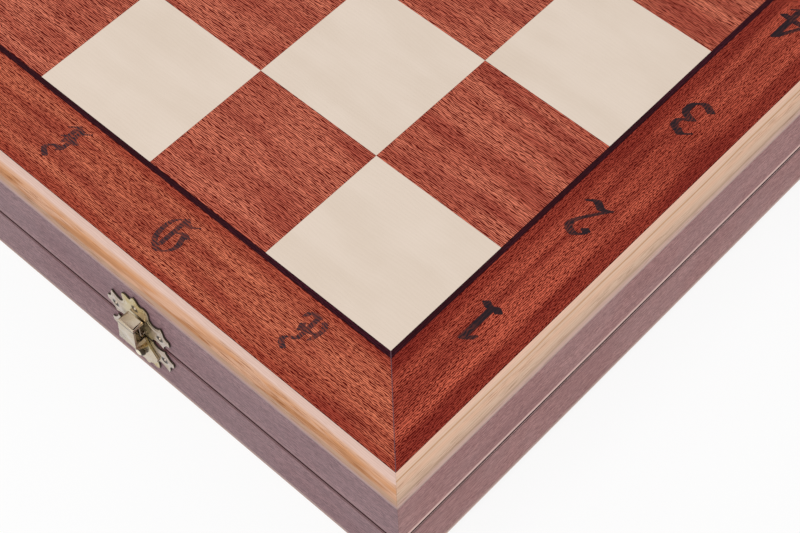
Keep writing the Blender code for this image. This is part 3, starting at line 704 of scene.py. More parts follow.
END_PINE = StreakedPine(
    "upper_end_rail_wood", "pale_wood", 0.45, 0.12, lip=(0.78, 0.54, 0.49), line_share=0.75,
    line=(0.33, 0.17, 0.10), rim_start=LIP_END + 0.1 * MM,
    stops=(
        (0.00, (0.80, 0.51, 0.39)), (0.20, WARM_CREAM), (0.23, BROWN_TAN), (0.26, WARM_CREAM), (0.38, PALE_PEACH),
        (0.55, WARM_CREAM), (0.68, (0.68, 0.46, 0.34)), (0.73, OLIVE_CREAM), (0.80, (0.68, 0.46, 0.37)),
        (1.00, (0.68, 0.45, 0.40)),
    ),
)
LOWER_END_PINE = replace(END_PINE, name="lower_end_rail_wood", rim_start=LIP_END - 0.35 * MM)
BARE_PINE = BareWood("bare_back_rail", "pale_wood", 0.55, 0.12)
PANEL_BOARD = PlyBoard("panel_board", "maple", 0.6, 0.12)
INK = StampedInk("digit_ink", "mahogany", 0.6, 0.05)
FADED_INK = replace(INK, name="letter_ink", ink=(0.034, 0.020, 0.026), wood=(0.24, 0.048, 0.028), wear=(0.40, 1.0))
FELT = WoolFelt("green_felt", "felt", 0.95, 0.05, bump=0.25 * MM)
BRASS = StampedBrass("plated_brass", "brass", 0.22, 0.08, bump=0.01 * MM)
HOOD_BRASS = replace(
    BRASS, name="hood_brass", worn=(0.52, 0.43, 0.335),
    # A painted shade line under the hood's top edge.
    line_level=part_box("right_clasp_swing_arm")[1][2] - 1.3 * MM,
)
# The rivet's bright brass is a painted highlight at the top of its dome.
RIVET_BRASS_PAINTED_HIGHLIGHT = replace(BRASS, name="rivet_brass_painted_highlight", roughness=0.16, worn=(0.84, 0.76, 0.60), yellow=(0.74, 0.60, 0.30))


class Paintbox:
    """Materials of the finishes, each built once."""

    def __init__(self) -> None:
        """Start with no material built."""
        self.made: dict[str, bpy.types.Material] = {}

    def of(self, finish: Finish) -> bpy.types.Material:
        """The material of a finish."""
        if finish.name not in self.made:
            self.made[finish.name] = finish.material()
        return self.made[finish.name]


PAINTS = Paintbox()


# Pieces


def settle(piece: bpy.types.Object, finish: Finish, body: str, stands_for: Iterable[str] = ()) -> None:
    """Give a finished piece its material, its body and the solids it stands for.

    Args:
        piece: A mesh object at the origin, with its place in its mesh.
        finish: The finish that it takes.
        body: The body that it rides on.
        stands_for: Solids of the frame that it replaces.
    """
    if not piece.data.materials:
        piece.data.materials.append(PAINTS.of(finish))
    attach(piece, body)
    names = list(stands_for)
    if names:
        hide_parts(*names)
    LOG.info("%s: %d faces, rides on %s", piece.name, len(piece.data.polygons), body)


def dress(node: str, finish: Finish) -> None:
    """Give a solid of the frame that stays in view its finish."""
    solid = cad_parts[node]
    for slot in solid.material_slots:
        slot.material = PAINTS.of(finish)
    LOG.info("%s: dressed in %s", node, finish.name)


def mesh_object(name: str, mesh: bpy.types.Mesh, sharp: float = 35.0) -> bpy.types.Object:
    """An object in the scene for a mesh, shaded smooth below an angle in degrees."""
    mesh.shade_smooth()
    mesh.set_sharp_from_angle(angle=math.radians(sharp))
    piece = bpy.data.objects.new(name, mesh)
    bpy.context.collection.objects.link(piece)
    return piece


def from_shape(name: str, shape: bmesh.types.BMesh, sharp: float = 35.0) -> bpy.types.Object:
    """An object for a bmesh, whose doubles are merged and whose faces are turned out."""
    bmesh.ops.remove_doubles(shape, verts=shape.verts, dist=0.001 * MM)
    bmesh.ops.recalc_face_normals(shape, faces=shape.faces)
    mesh = bpy.data.meshes.new(name)
    shape.to_mesh(mesh)
    shape.free()
    return mesh_object(name, mesh, sharp)


def applied(piece: bpy.types.Object, sharp: float = 35.0) -> bpy.types.Object:
    """Replace an object by a plain mesh of what its modifiers make."""
    graph = bpy.context.evaluated_depsgraph_get()
    mesh = bpy.data.meshes.new_from_object(piece.evaluated_get(graph), preserve_all_data_layers=True, depsgraph=graph)
    name = piece.name
    bpy.data.objects.remove(piece, do_unlink=True)
    mesh.name = name
    return mesh_object(name, mesh, sharp)


def bevelled(piece: bpy.types.Object, width: float, segments: int = 2) -> bpy.types.Object:
    """Round an object's sharp edges by a small bevel and apply it."""
    bevel = piece.modifiers.new("bevel", "BEVEL")
    bevel.width = width
    bevel.segments = segments
    bevel.limit_method = "ANGLE"
    bevel.angle_limit = math.radians(40)
    bevel.use_clamp_overlap = True
    return applied(piece)


def combined(piece: bpy.types.Object, tool: bpy.types.Object, operation: str) -> bpy.types.Object:
    """Join, cut or intersect an object with a tool, and remove the tool."""
    modifier = piece.modifiers.new("combine", "BOOLEAN")
    modifier.operation = operation
    modifier.solver = "EXACT"
    modifier.use_self = operation == "UNION"
    modifier.object = tool
    bpy.context.view_layer.update()
    result = applied(piece)
    bpy.data.objects.remove(tool, do_unlink=True)
    return result


def arc(centre: Point2, radius: float, start: float, end: float, steps: int) -> list[Point2]:
    """Points of an arc, both ends included, with angles in degrees."""
    angles = [math.radians(start + (end - start) * n / steps) for n in range(steps + 1)]
    return [(centre[0] + radius * math.cos(a), centre[1] + radius * math.sin(a)) for a in angles]


def prism(outline: Sequence[Vector], reach: Vector) -> bmesh.types.BMesh:
    """A closed outline of points, extruded by a vector."""
    shape = bmesh.new()
    add_prism(shape, outline, reach)
    return shape


def add_prism(shape: bmesh.types.BMesh, outline: Sequence[Vector], reach: Vector) -> None:
    """Add a prism to a bmesh, with its faces turned out."""
    base = shape.faces.new([shape.verts.new(point) for point in outline])
    grown = bmesh.ops.extrude_face_region(shape, geom=[base])["geom"]
    moved = [item for item in grown if isinstance(item, bmesh.types.BMVert)]
    bmesh.ops.translate(shape, vec=reach, verts=moved)


def bar(
    profile: Sequence[Point2],
    first: Callable[[float, float], Vector],
    last: Callable[[float, float], Vector],
    along: Callable[[Vector], float],
    seed: float,
    across: Sequence[float] = (),
) -> bmesh.types.BMesh:
    """A bar of one section between two ends, with its grain vector on every corner.

    Args:
        profile: The section as (distance from the outer face, depth behind the playing face).
        first: Place of a section point at the first end.
        last: Place of a section point at the last end.
        along: The distance of a place along the grain.
        seed: Third value of the grain vector, which sets this bar's figure.
        across: Second value of the grain vector at each section point, else the way round.

    Returns:
        The closed bar.
    """
    shape = bmesh.new()
    layer = shape.loops.layers.float_vector.new("grain")
    ends = [[shape.verts.new(place(*point)) for point in profile] for place in (first, last)]
    steps = [math.dist(a, b) for a, b in zip(profile, [*profile[1:], profile[0]])]
    reached = [*across, across[-1] + steps[-1]] if across else [sum(steps[:n]) for n in range(len(steps) + 1)]
    for n in range(len(profile)):
        m = (n + 1) % len(profile)
        face = shape.faces.new((ends[0][n], ends[0][m], ends[1][m], ends[1][n]))
        for loop, way in zip(face.loops, (reached[n], reached[n + 1], reached[n + 1], reached[n])):
            loop[layer] = (along(loop.vert.co), way, seed)
    for ring in ends:
        face = shape.faces.new(ring)
        for loop, (out, depth) in zip(face.loops, profile):
            loop[layer] = (out, depth + END_GRAIN, seed + 1)
    return shape


# Repeated pieces by geometry nodes


class NodeMaker:
    """Geometry node trees for squares, nails and screws."""

    @staticmethod
    def tree(name: str, inputs: dict[str, tuple[str, object]]) -> tuple[Graph, bpy.types.Node, bpy.types.Node]:
        """Start a geometry tree.

        Args:
            name: The tree's name.
            inputs: Socket types and default values by input name.

        Returns:
            The graph, its input node and its output node.
        """
        tree = bpy.data.node_groups.new(name, "GeometryNodeTree")
        tree.interface.new_socket("Geometry", in_out="INPUT", socket_type="NodeSocketGeometry")
        tree.interface.new_socket("Geometry", in_out="OUTPUT", socket_type="NodeSocketGeometry")
        for key, (kind, value) in inputs.items():
            socket = tree.interface.new_socket(key, in_out="INPUT", socket_type=kind)
            if value is not None:
                socket.default_value = value
        graph = Graph(tree)
        return graph, graph.add("NodeGroupInput"), graph.add("NodeGroupOutput")

    @staticmethod
    def run(piece: bpy.types.Object, tree: bpy.types.NodeTree, values: dict[str, object]) -> bpy.types.Object:
        """Run a tree on an object with named values and keep the result as a plain mesh."""
        modifier = piece.modifiers.new(tree.name, "NODES")
        modifier.node_group = tree
        sockets = {item.name: item.identifier for item in tree.interface.items_tree if item.in_out == "INPUT"}
        for key, value in values.items():
            modifier[sockets[key]] = value
        piece.data.update_tag()
        bpy.context.view_layer.update()
        return applied(piece)

    @classmethod
    def chequer(cls) -> bpy.types.NodeTree:
        """Cut the faces of one colour loose, thicken them and turn each one's grain its own way."""
        inputs = {
            "Colour": ("NodeSocketInt", 0),
            "Joint": ("NodeSocketFloat", 0.05 * MM),
            "Square": ("NodeSocketFloat", 57.5 * MM),
            "Thickness": ("NodeSocketFloat", 0.6 * MM),
            "Seed": ("NodeSocketInt", 1),
            "Material": ("NodeSocketMaterial", None),
        }
        graph, given, result = cls.tree("chequer_squares", inputs)
        colour = graph.add("GeometryNodeInputNamedAttribute", {0: "colour"}, data_type="INT").outputs[0]
        other = graph.add(
            "FunctionNodeCompare", {2: colour, 3: given.outputs["Colour"]}, data_type="INT", operation="NOT_EQUAL"
        )
        kept = graph.add(
            "GeometryNodeDeleteGeometry",
            {"Geometry": given.outputs["Geometry"], "Selection": other.outputs[0]},
            domain="FACE",
        )
        loose = graph.add("GeometryNodeSplitEdges", {0: kept.outputs[0]})
        shrink = graph.maths("SUBTRACT", 1.0, graph.maths("DIVIDE", given.outputs["Joint"], given.outputs["Square"]))
        fitted = graph.add("GeometryNodeScaleElements", {"Geometry": loose.outputs[0], "Scale": shrink}, domain="FACE")
        sunk = graph.maths("MULTIPLY", given.outputs["Thickness"], -1.0)
        grown = graph.add(
            "GeometryNodeExtrudeMesh",
            {"Mesh": fitted.outputs[0], "Offset Scale": sunk, "Individual": True},
            mode="FACES",
        )
        turned = graph.add("GeometryNodeFlipFaces", {"Mesh": grown.outputs[0]})
        joined = graph.add("GeometryNodeJoinGeometry")
        graph.feed(joined.inputs[0], turned.outputs[0])
        graph.feed(joined.inputs[0], fitted.outputs[0])
        closed = graph.add("GeometryNodeMergeByDistance", {"Geometry": joined.outputs[0], "Distance": 0.002 * MM})
        island = graph.add("GeometryNodeInputMeshIsland").outputs[0]
        shift = graph.add(
            "FunctionNodeRandomValue",
            {0: (-1.0, -1.0, -1.0), 1: (1.0, 1.0, 1.0), "ID": island, "Seed": given.outputs["Seed"]},
            data_type="FLOAT_VECTOR",
        ).outputs[0]
        place = graph.add("GeometryNodeInputPosition").outputs[0]
        grain = graph.vector("ADD", place, shift)
        stored = graph.add(
            "GeometryNodeStoreNamedAttribute",
            {"Geometry": closed.outputs[0], "Name": "grain", "Value": grain},
            data_type="FLOAT_VECTOR",
            domain="POINT",
        )
        real = graph.add("GeometryNodeRealizeInstances", {0: stored.outputs[0]})
        dressed = graph.add(
            "GeometryNodeSetMaterial", {"Geometry": real.outputs[0], "Material": given.outputs["Material"]}
        )
        graph.feed(result.inputs[0], dressed.outputs[0])
        return graph.tree

    @classmethod
    def fasteners(cls, slotted: bool) -> bpy.types.NodeTree:
        """Heads of nails or slotted screws on every point, along the point's normal attribute.

        Args:
            slotted: Whether the head is a screw's, with a slot.

        Returns:
            The tree.
        """
        name = "screw_heads" if slotted else "nail_heads"
        inputs = {
            "Radius": ("NodeSocketFloat", 1.0 * MM),
            "Height": ("NodeSocketFloat", 0.5 * MM),
            "Slot Width": ("NodeSocketFloat", 0.35 * MM),
            "Seed": ("NodeSocketInt", 3),
            "Material": ("NodeSocketMaterial", None),
        }
        graph, given, result = cls.tree(name, inputs)
        size = graph.combine(given.outputs["Radius"], given.outputs["Radius"], given.outputs["Height"])
        ball = graph.add("GeometryNodeMeshUVSphere", {"Segments": 20, "Rings": 12, "Radius": 1.0})
        head = graph.add("GeometryNodeTransform", {"Geometry": ball.outputs[0], "Scale": size}).outputs[0]
        if slotted:
            length = graph.maths("MULTIPLY", given.outputs["Radius"], 2.6)
            depth = graph.maths("MULTIPLY", given.outputs["Height"], 1.2)
            box = graph.combine(length, given.outputs["Slot Width"], depth)
            slot = graph.add("GeometryNodeMeshCube", {"Size": box})
            rise = graph.combine(0.0, 0.0, given.outputs["Height"])
            lifted = graph.add("GeometryNodeTransform", {"Geometry": slot.outputs[0], "Translation": rise})
            cut = graph.add("GeometryNodeMeshBoolean", operation="DIFFERENCE")
            graph.feed(cut.inputs[0], head)
            graph.feed(cut.inputs[1], lifted.outputs[0])
            head = cut.outputs[0]
        facing = graph.add("GeometryNodeInputNamedAttribute", {0: "facing"}, data_type="FLOAT_VECTOR").outputs[0]
        turn = graph.add("FunctionNodeAlignRotationToVector", {"Vector": facing}, axis="Z").outputs[0]
        spin = graph.add(
            "FunctionNodeRandomValue", {2: 0.0, 3: math.pi, "Seed": given.outputs["Seed"]}, data_type="FLOAT"
        ).outputs[1]
        spun = graph.add(
            "FunctionNodeRotateRotation",
            {0: turn, 1: graph.add("FunctionNodeAxisAngleToRotation", {0: (0, 0, 1), 1: spin}).outputs[0]},
            rotation_space="LOCAL",
        ).outputs[0]
        points = graph.add("GeometryNodeMeshToPoints", {"Mesh": given.outputs["Geometry"]})
        set_out = graph.add(
            "GeometryNodeInstanceOnPoints", {"Points": points.outputs[0], "Instance": head, "Rotation": spun}
        )
        real = graph.add("GeometryNodeRealizeInstances", {0: set_out.outputs[0]})
        dressed = graph.add(
            "GeometryNodeSetMaterial", {"Geometry": real.outputs[0], "Material": given.outputs["Material"]}
        )
        graph.feed(result.inputs[0], dressed.outputs[0])
        return graph.tree

    @staticmethod
    def point_cloud(name: str, places: Sequence[Vector], facing: Vector) -> bpy.types.Object:
        """A mesh of loose vertices that all face one way, for fasteners to stand on."""
        mesh = bpy.data.meshes.new(name)
        mesh.from_pydata([tuple(place) for place in places], [], [])
        attribute = mesh.attributes.new("facing", "FLOAT_VECTOR", "POINT")
        for item in attribute.data:
            item.vector = facing
        piece = bpy.data.objects.new(name, mesh)
        bpy.context.collection.objects.link(piece)
        return piece


class Fasteners:
    """Nails of the clasps and screws of the hinges."""

    def __init__(self) -> None:
        """Build both trees."""
        self.nail_tree = NodeMaker.fasteners(slotted=False)
        self.screw_tree = NodeMaker.fasteners(slotted=True)

    def set_in(
        self, name: str, places: Sequence[Vector], facing: Vector, radius: float, height: float, slotted: bool, body: str
    ) -> None:
        """Set heads at places.

        Args:
            name: Name of the piece.
            places: Middle of each head's base.
            facing: The way the heads point.
            radius: Radius of a head.
            height: How far a head rises.
            slotted: Whether they are screws.
            body: The body that they ride on.
        """
        cloud = NodeMaker.point_cloud(name, places, facing)
        tree = self.screw_tree if slotted else self.nail_tree
        values = {"Radius": radius, "Height": height, "Seed": 5, "Material": PAINTS.of(BRASS)}
        settle(NodeMaker.run(cloud, tree, values), BRASS, body)


# Lettering

# Strokes of a broad pen as shares of the glyph's height, from its lower left corner.
GLYPH_STROKE_SHARES: dict[str, tuple[tuple[Point2, ...], ...]] = {
    "A": (
        ((0.04, 0.80), (0.16, 0.93), (0.32, 0.88), (0.46, 0.98)),
        ((0.44, 0.94), (0.44, 0.14), (0.54, 0.04)),
        ((0.34, 0.86), (0.16, 0.50), (0.14, 0.16), (0.02, 0.02)),
        ((0.14, 0.42), (0.28, 0.46), (0.44, 0.42)),
    ),
    "B": (
        ((0.02, 0.88), (0.12, 0.97), (0.20, 0.92)),
        ((0.18, 0.94), (0.18, 0.08)),
        ((0.20, 0.90), (0.42, 0.94), (0.48, 0.74), (0.28, 0.56)),
        ((0.28, 0.56), (0.54, 0.44), (0.50, 0.14), (0.26, 0.04), (0.04, 0.10)),
    ),
    "C": (
        ((0.26, 0.96), (0.08, 0.74), (0.06, 0.36), (0.24, 0.06), (0.54, 0.16)),
        ((0.28, 0.92), (0.28, 0.20)),
        ((0.26, 0.94), (0.42, 0.86), (0.56, 0.96)),
    ),
    "D": (
        ((0.04, 0.88), (0.20, 0.96), (0.44, 0.84), (0.56, 0.50), (0.44, 0.14), (0.20, 0.04)),
        ((0.16, 0.90), (0.06, 0.52), (0.20, 0.04)),
        ((0.30, 0.84), (0.30, 0.18)),
    ),
    "E": (
        ((0.26, 0.96), (0.08, 0.74), (0.06, 0.36), (0.24, 0.06), (0.54, 0.16)),
        ((0.28, 0.92), (0.28, 0.20)),
        ((0.26, 0.94), (0.42, 0.86), (0.56, 0.96)),
        ((0.28, 0.54), (0.40, 0.60), (0.52, 0.52)),
    ),
    "F": (
        ((0.10, 0.88), (0.24, 0.98), (0.42, 0.90), (0.56, 1.00)),
        ((0.38, 0.94), (0.38, 0.40), (0.34, 0.28)),
        ((0.24, 0.90), (0.26, 0.50)),
        ((0.14, 0.62), (0.30, 0.68), (0.54, 0.62)),
        ((0.38, 0.34), (0.14, 0.30), (0.06, 0.14), (0.24, 0.00)),
    ),
    "G": (
        ((0.28, 0.96), (0.08, 0.74), (0.06, 0.38), (0.16, 0.14), (0.36, 0.02)),
        ((0.30, 0.94), (0.30, 0.14)),
        ((0.28, 0.96), (0.46, 0.86), (0.62, 0.96)),
        ((0.40, 0.62), (0.52, 0.66), (0.64, 0.62)),
        ((0.54, 0.62), (0.62, 0.34), (0.52, 0.12), (0.36, 0.02)),
    ),
    "H": (
        ((0.04, 0.84), (0.08, 0.98), (0.30, 0.98)),
        ((0.28, 0.98), (0.28, 0.40), (0.24, 0.30)),
        ((0.12, 0.68), (0.18, 0.52)),
        ((0.14, 0.62), (0.30, 0.60), (0.52, 0.66)),
        ((0.44, 0.98), (0.54, 0.84), (0.50, 0.50)),
        ((0.28, 0.34), (0.10, 0.26), (0.06, 0.12), (0.22, 0.00)),
    ),
    "1": (
        ((0.06, 0.80), (0.10, 0.92), (0.22, 0.98)),
        ((0.22, 0.98), (0.22, 0.08)),
        ((0.04, 0.08), (0.16, 0.02), (0.28, 0.08), (0.42, 0.02)),
    ),
    "2": (
        ((0.08, 0.78), (0.16, 0.74)),
        ((0.10, 0.84), (0.24, 0.98), (0.46, 0.90), (0.46, 0.70), (0.28, 0.40), (0.04, 0.06)),
        ((0.06, 0.08), (0.22, 0.14), (0.40, 0.04), (0.56, 0.12)),
    ),
    "3": (
        ((0.06, 0.86), (0.20, 0.98), (0.34, 0.90)),
        ((0.32, 0.94), (0.46, 0.86), (0.44, 0.66), (0.22, 0.54)),
        ((0.24, 0.54), (0.48, 0.44), (0.48, 0.16), (0.28, 0.02), (0.04, 0.12)),
    ),
    "4": (
        ((0.36, 0.98), (0.06, 0.40)),
        ((0.02, 0.34), (0.30, 0.36), (0.60, 0.34)),
        ((0.38, 0.98), (0.38, 0.06)),
        ((0.26, 0.06), (0.38, 0.00), (0.50, 0.08)),
    ),
    "5": (
        ((0.16, 0.94), (0.14, 0.58)),
        ((0.14, 0.92), (0.34, 0.88), (0.52, 1.00)),
        ((0.14, 0.58), (0.40, 0.62), (0.50, 0.34), (0.34, 0.06), (0.04, 0.10)),
    ),
    "6": (
        ((0.46, 0.96), (0.18, 0.74), (0.08, 0.36), (0.22, 0.04), (0.46, 0.14), (0.46, 0.42), (0.26, 0.52), (0.12, 0.42)),
    ),
    "7": (
        ((0.04, 0.88), (0.20, 0.96), (0.38, 0.88), (0.54, 0.98)),
        ((0.52, 0.94), (0.30, 0.48), (0.24, 0.04)),
    ),
    "8": (
        (
            (0.30, 0.98), (0.10, 0.84), (0.16, 0.62), (0.42, 0.42), (0.48, 0.18), (0.26, 0.02), (0.06, 0.16),
            (0.12, 0.40), (0.40, 0.60), (0.46, 0.82), (0.30, 0.98),
        ),
    ),
}


@dataclass
class BroadPen:
    """A pen with a broad nib, held at one angle, that writes glyphs as thin solids."""

    height: float = 16.6 * MM
    nib_share: float = 0.128
    digit_weight: float = 1.32
    edge_share: float = 0.026
    angle: float = 42.0
    curve_steps: int = 4
    ink: float = 0.03 * MM
    cache: dict[str, bpy.types.Mesh] = field(default_factory=dict)

    def smooth(self, points: Sequence[Point2]) -> list[Vector]:
        """A rounded path through a stroke's points."""
        knots = [Vector(point) for point in points]
        if len(knots) == 2:
            return knots
        padded = [knots[0] * 2 - knots[1], *knots, knots[-1] * 2 - knots[-2]]
        path = []
        for a, b, c, d in zip(padded, padded[1:], padded[2:], padded[3:]):
            for n in range(self.curve_steps):
                t = n / self.curve_steps
                path.append(
                    0.5 * (2 * b + (c - a) * t + (2 * a - 5 * b + 4 * c - d) * t**2 + (3 * b - a - 3 * c + d) * t**3)
                )
        path.append(knots[-1])
        return path

    def glyph(self, sign: str) -> bpy.types.Mesh:
        """The solid of one sign, with its middle at the origin."""
        if sign in self.cache:
            return self.cache[sign]
        strokes = [self.smooth(points) for points in GLYPH_STROKE_SHARES[sign]]
        turn = Matrix.Rotation(math.radians(self.angle), 2)
        corners = ((-1, -1), (1, -1), (1, 1), (-1, 1))
        weight = self.digit_weight if sign.isdigit() else 1.0
        nib = [turn @ Vector((x * weight * self.nib_share / 2, y * weight * self.edge_share / 2)) for x, y in corners]
        across = [point.x for stroke in strokes for point in stroke]
        middle = Vector(((min(across) + max(across)) / 2, 0.5))
        points: list[Vector] = []
        hulls: list[list[int]] = []
        for stroke in strokes:
            for here, there in zip(stroke, stroke[1:]):
                swept = [spot + corner - middle for spot in (here, there) for corner in nib]
                ring = geometry.convex_hull_2d(swept)
                hulls.append([len(points) + n for n in range(len(ring))])
                points += [swept[n] for n in ring]
        verts, _, faces, _, _, owners = geometry.delaunay_2d_cdt(points, [], hulls, 1, 0.0005, True)
        shape = bmesh.new()
        placed = [shape.verts.new((*(vert * self.height), 0.0)) for vert in verts]
        inked = [face for face, owner in zip(faces, owners) if owner]
        flat = [shape.faces.new([placed[n] for n in face]) for face in inked]
        bmesh.ops.delete(shape, geom=[vert for vert in placed if not vert.link_faces], context="VERTS")
        grown = bmesh.ops.extrude_face_region(shape, geom=flat)["geom"]
        raised = [item for item in grown if isinstance(item, bmesh.types.BMVert)]
        bmesh.ops.translate(shape, vec=(0, 0, self.ink), verts=raised)
        bmesh.ops.recalc_face_normals(shape, faces=shape.faces)
        mesh = bpy.data.meshes.new(f"glyph_{sign}")
        shape.to_mesh(mesh)
        shape.free()
        self.cache[sign] = mesh
        return mesh

    def write(self, shape: bmesh.types.BMesh, sign: str, matrix: Matrix) -> None:
        """Add a sign to a bmesh at a place."""
        mesh = self.glyph(sign).copy()
        mesh.transform(matrix)
        if matrix.determinant() < 0:
            mesh.flip_normals()
        shape.from_mesh(mesh)
        bpy.data.meshes.remove(mesh)


# Trays


# Letters that were stamped a little beside the middle of their square, as (along, inwards).
STAMP_SHIFTS = {"f": (0.0, 1.6 * MM), "h": (3.0 * MM, 1.4 * MM)}


@dataclass
class Tray:
    """One half of the board, drawn finely over its solids."""

    half: Half
    ranks: tuple[int, ...]
    files: str = "abcdefgh"
    edge_radius: float = 6.6 * MM
    veneer: float = 0.6 * MM
    joint: float = 0.05 * MM
    shadow_gap: float = 0.16 * MM
    arris: float = 0.12 * MM
    wall: float = 14.0 * MM
    ledge: float = 5.0 * MM
    panel_thickness: float = 5.0 * MM
    sanded_line: float = 0.9 * MM
    edge_steps: int = 14
    letter_shift: float = 0.9 * MM
    digit_shift: float = 3.3 * MM
    felt: float = 0.9 * MM
    felt_ripple: float = 0.05 * MM

    def __post_init__(self) -> None:
        """Read the tray's sizes from the frame."""
        name = self.half.value
        self.body = f"{name}_tray"
        self.seed = 3.0 if self.half is Half.UPPER else 11.0
        low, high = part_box(f"{name}_front_rail")
        side_low, side_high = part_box(f"{name}_side_veneer")
        self.half_length = high[0] if high[0] > side_high[0] else side_high[0]
        self.front = low[1]
        self.back = side_high[1]
        self.face = high[2] if self.half is Half.UPPER else low[2]
        self.rim = low[2] if self.half is Half.UPPER else high[2]
        self.inward = -1.0 if self.half is Half.UPPER else 1.0
        self.height = abs(self.face - self.rim)
        self.lip = abs((side_low[2] if self.half is Half.UPPER else side_high[2]) - self.rim)
        string_low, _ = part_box(f"{name}_stringing")
        border_low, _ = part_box(f"{name}_border_veneer")
        self.string_outer = string_low[1] - self.front - 0.15 * MM
        self.border_outer = border_low[1] - self.front
        self.file_edges = self.edges_of(self.files, 0)
        self.rank_edges = self.edges_of(self.ranks, 1)

    def square_box(self, file: str, rank: int) -> tuple | None:
        """The frame's box of a dark square, or None where the square is light."""
        node = f"dark_square_{file}{rank}"
        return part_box(node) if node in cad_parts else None

    def edges_of(self, names: Sequence, axis: int) -> list[float]:
        """Places where the rows of squares start and end along an axis."""
        others = self.ranks if axis == 0 else self.files
        spans = []
        for name in names:
            for other in others:
                found = self.square_box(name, other) if axis == 0 else self.square_box(other, name)
                if found:
                    spans.append((found[0][axis], found[1][axis]))
                    break
        inner = [(a[1] + b[0]) / 2 for a, b in zip(spans, spans[1:])]
        gap = (spans[1][0] - spans[0][1]) / 2
        return [spans[0][0] - gap, *inner, spans[-1][1] + gap]

    def z(self, depth: float) -> float:
        """Height of a place this deep behind the playing face."""
        return self.face + self.inward * depth

    def build(self, pen: BroadPen, chequer: bpy.types.NodeTree) -> None:
        """Build every piece of the tray."""
        self.build_squares(chequer)
        self.build_panel()
        self.build_bands()
        self.build_rails()
        self.build_sides()
        self.build_lettering(pen)
        self.build_lining()
        self.dress_back_rail()

    def build_squares(self, chequer: bpy.types.NodeTree) -> None:
        """The light and the dark squares, each colour one piece."""
        xs, ys = self.file_edges, self.rank_edges
        mesh = bpy.data.meshes.new("field")
        corners = [(x, y, self.face) for y in ys for x in xs]
        width = len(xs)
        faces = []
        colours = []
        for row in range(len(ys) - 1):
            for column in range(width - 1):
                start = row * width + column
                ring = (start, start + 1, start + width + 1, start + width)
                faces.append(ring if self.half is Half.UPPER else tuple(reversed(ring)))
                colours.append((column + 1 + self.ranks[row]) % 2)
        mesh.from_pydata(corners, [], faces)
        mesh.attributes.new("colour", "INT", "FACE").data.foreach_set("value", colours)
        for word, number, finish in (("light", 1, MAPLE), ("dark", 0, MAHOGANY)):
            piece = bpy.data.objects.new(f"{self.half.value}_{word}_squares", mesh.copy())
            bpy.context.collection.objects.link(piece)
            values = {
                "Colour": number,
                "Joint": self.joint,
                "Thickness": self.veneer,
                "Seed": int(self.seed) + number,
                "Material": PAINTS.of(finish),
            }
            piece = NodeMaker.run(piece, chequer, values)
            nodes = []
            if finish is MAHOGANY:
                squares = [f"dark_square_{file}{rank}" for file in self.files for rank in self.ranks]
                nodes = [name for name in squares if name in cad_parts]
            settle(piece, finish, self.body, nodes)

    def build_panel(self) -> None:
        """The board under the squares."""
        low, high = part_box(f"{self.half.value}_field_panel")
        top = self.veneer + 0.05 * MM
        levels = self.z(top), self.z(top + self.panel_thickness)
        shape = bmesh.new()
        made = bmesh.ops.create_cube(shape, size=1)["verts"]
        size = Vector((high[0] - low[0], high[1] - low[1], abs(levels[0] - levels[1])))
        bmesh.ops.scale(shape, vec=size, verts=made)
        middle = Vector(((low[0] + high[0]) / 2, (low[1] + high[1]) / 2, sum(levels) / 2))
        bmesh.ops.translate(shape, vec=middle, verts=made)
        piece = bevelled(from_shape(f"{self.half.value}_panel_board", shape), self.arris)
        settle(piece, PANEL_BOARD, self.body, [f"{self.half.value}_field_panel"])

    def band(self, inner: float, outer: float, top: float, bottom: float, side: str, seed: float):
        """One mitred strip of a flat band along the front or an end.

        Args:
            inner: Distance from the outer face to the strip's inner edge.
            outer: Distance from the outer face to the strip's outer edge.
            top: Depth of its upper face.
            bottom: Depth of its lower face.
            side: front, left or right.
            seed: Third value of its grain vector.

        Returns:
            The strip.
        """
        cut = self.arris / 2
        profile = (
            (outer, bottom), (outer, top + cut), (outer + cut, top), (inner - cut, top), (inner, top + cut), (inner, bottom)
        )
        return self.strip(profile, side, seed)

    def strip(
        self, profile: Sequence[Point2], side: str, seed: float, across: Sequence[float] = ()
    ) -> bmesh.types.BMesh:
        """A bar of a section along the front or an end, mitred at the front corners."""
        half, mitre = self.half_length, self.joint / 2
        if side == "front":
            return bar(
                profile,
                lambda out, depth: Vector((-half + out + mitre, self.front + out, self.z(depth))),
                lambda out, depth: Vector((half - out - mitre, self.front + out, self.z(depth))),
                lambda place: place.x,
                seed,
                across,
            )
        sign = End[side.upper()].value
        return bar(
            profile,
            lambda out, depth: Vector((sign * (half - out), self.front + out + mitre, self.z(depth))),
            lambda out, depth: Vector((sign * (half - out), self.back, self.z(depth))),
            lambda place: place.y * sign,
            seed,
            across,
        )

    def joined_strips(
        self,
        name: str,
        make: Callable[[str, float], bmesh.types.BMesh],
        sides: Sequence[str] = ("front", "left", "right"),
    ) -> bpy.types.Object:
        """Strips of a band along several sides as one piece."""
        shape = bmesh.new()
        shape.loops.layers.float_vector.new("grain")
        for number, side in enumerate(sides):
            part = bpy.data.meshes.new(side)
            strip = make(side, self.seed + 7.0 * number)
            bmesh.ops.recalc_face_normals(strip, faces=strip.faces)
            strip.to_mesh(part)
            strip.free()
            shape.from_mesh(part)
            bpy.data.meshes.remove(part)
        mesh = bpy.data.meshes.new(name)
        shape.to_mesh(mesh)
        shape.free()
        return mesh_object(name, mesh)

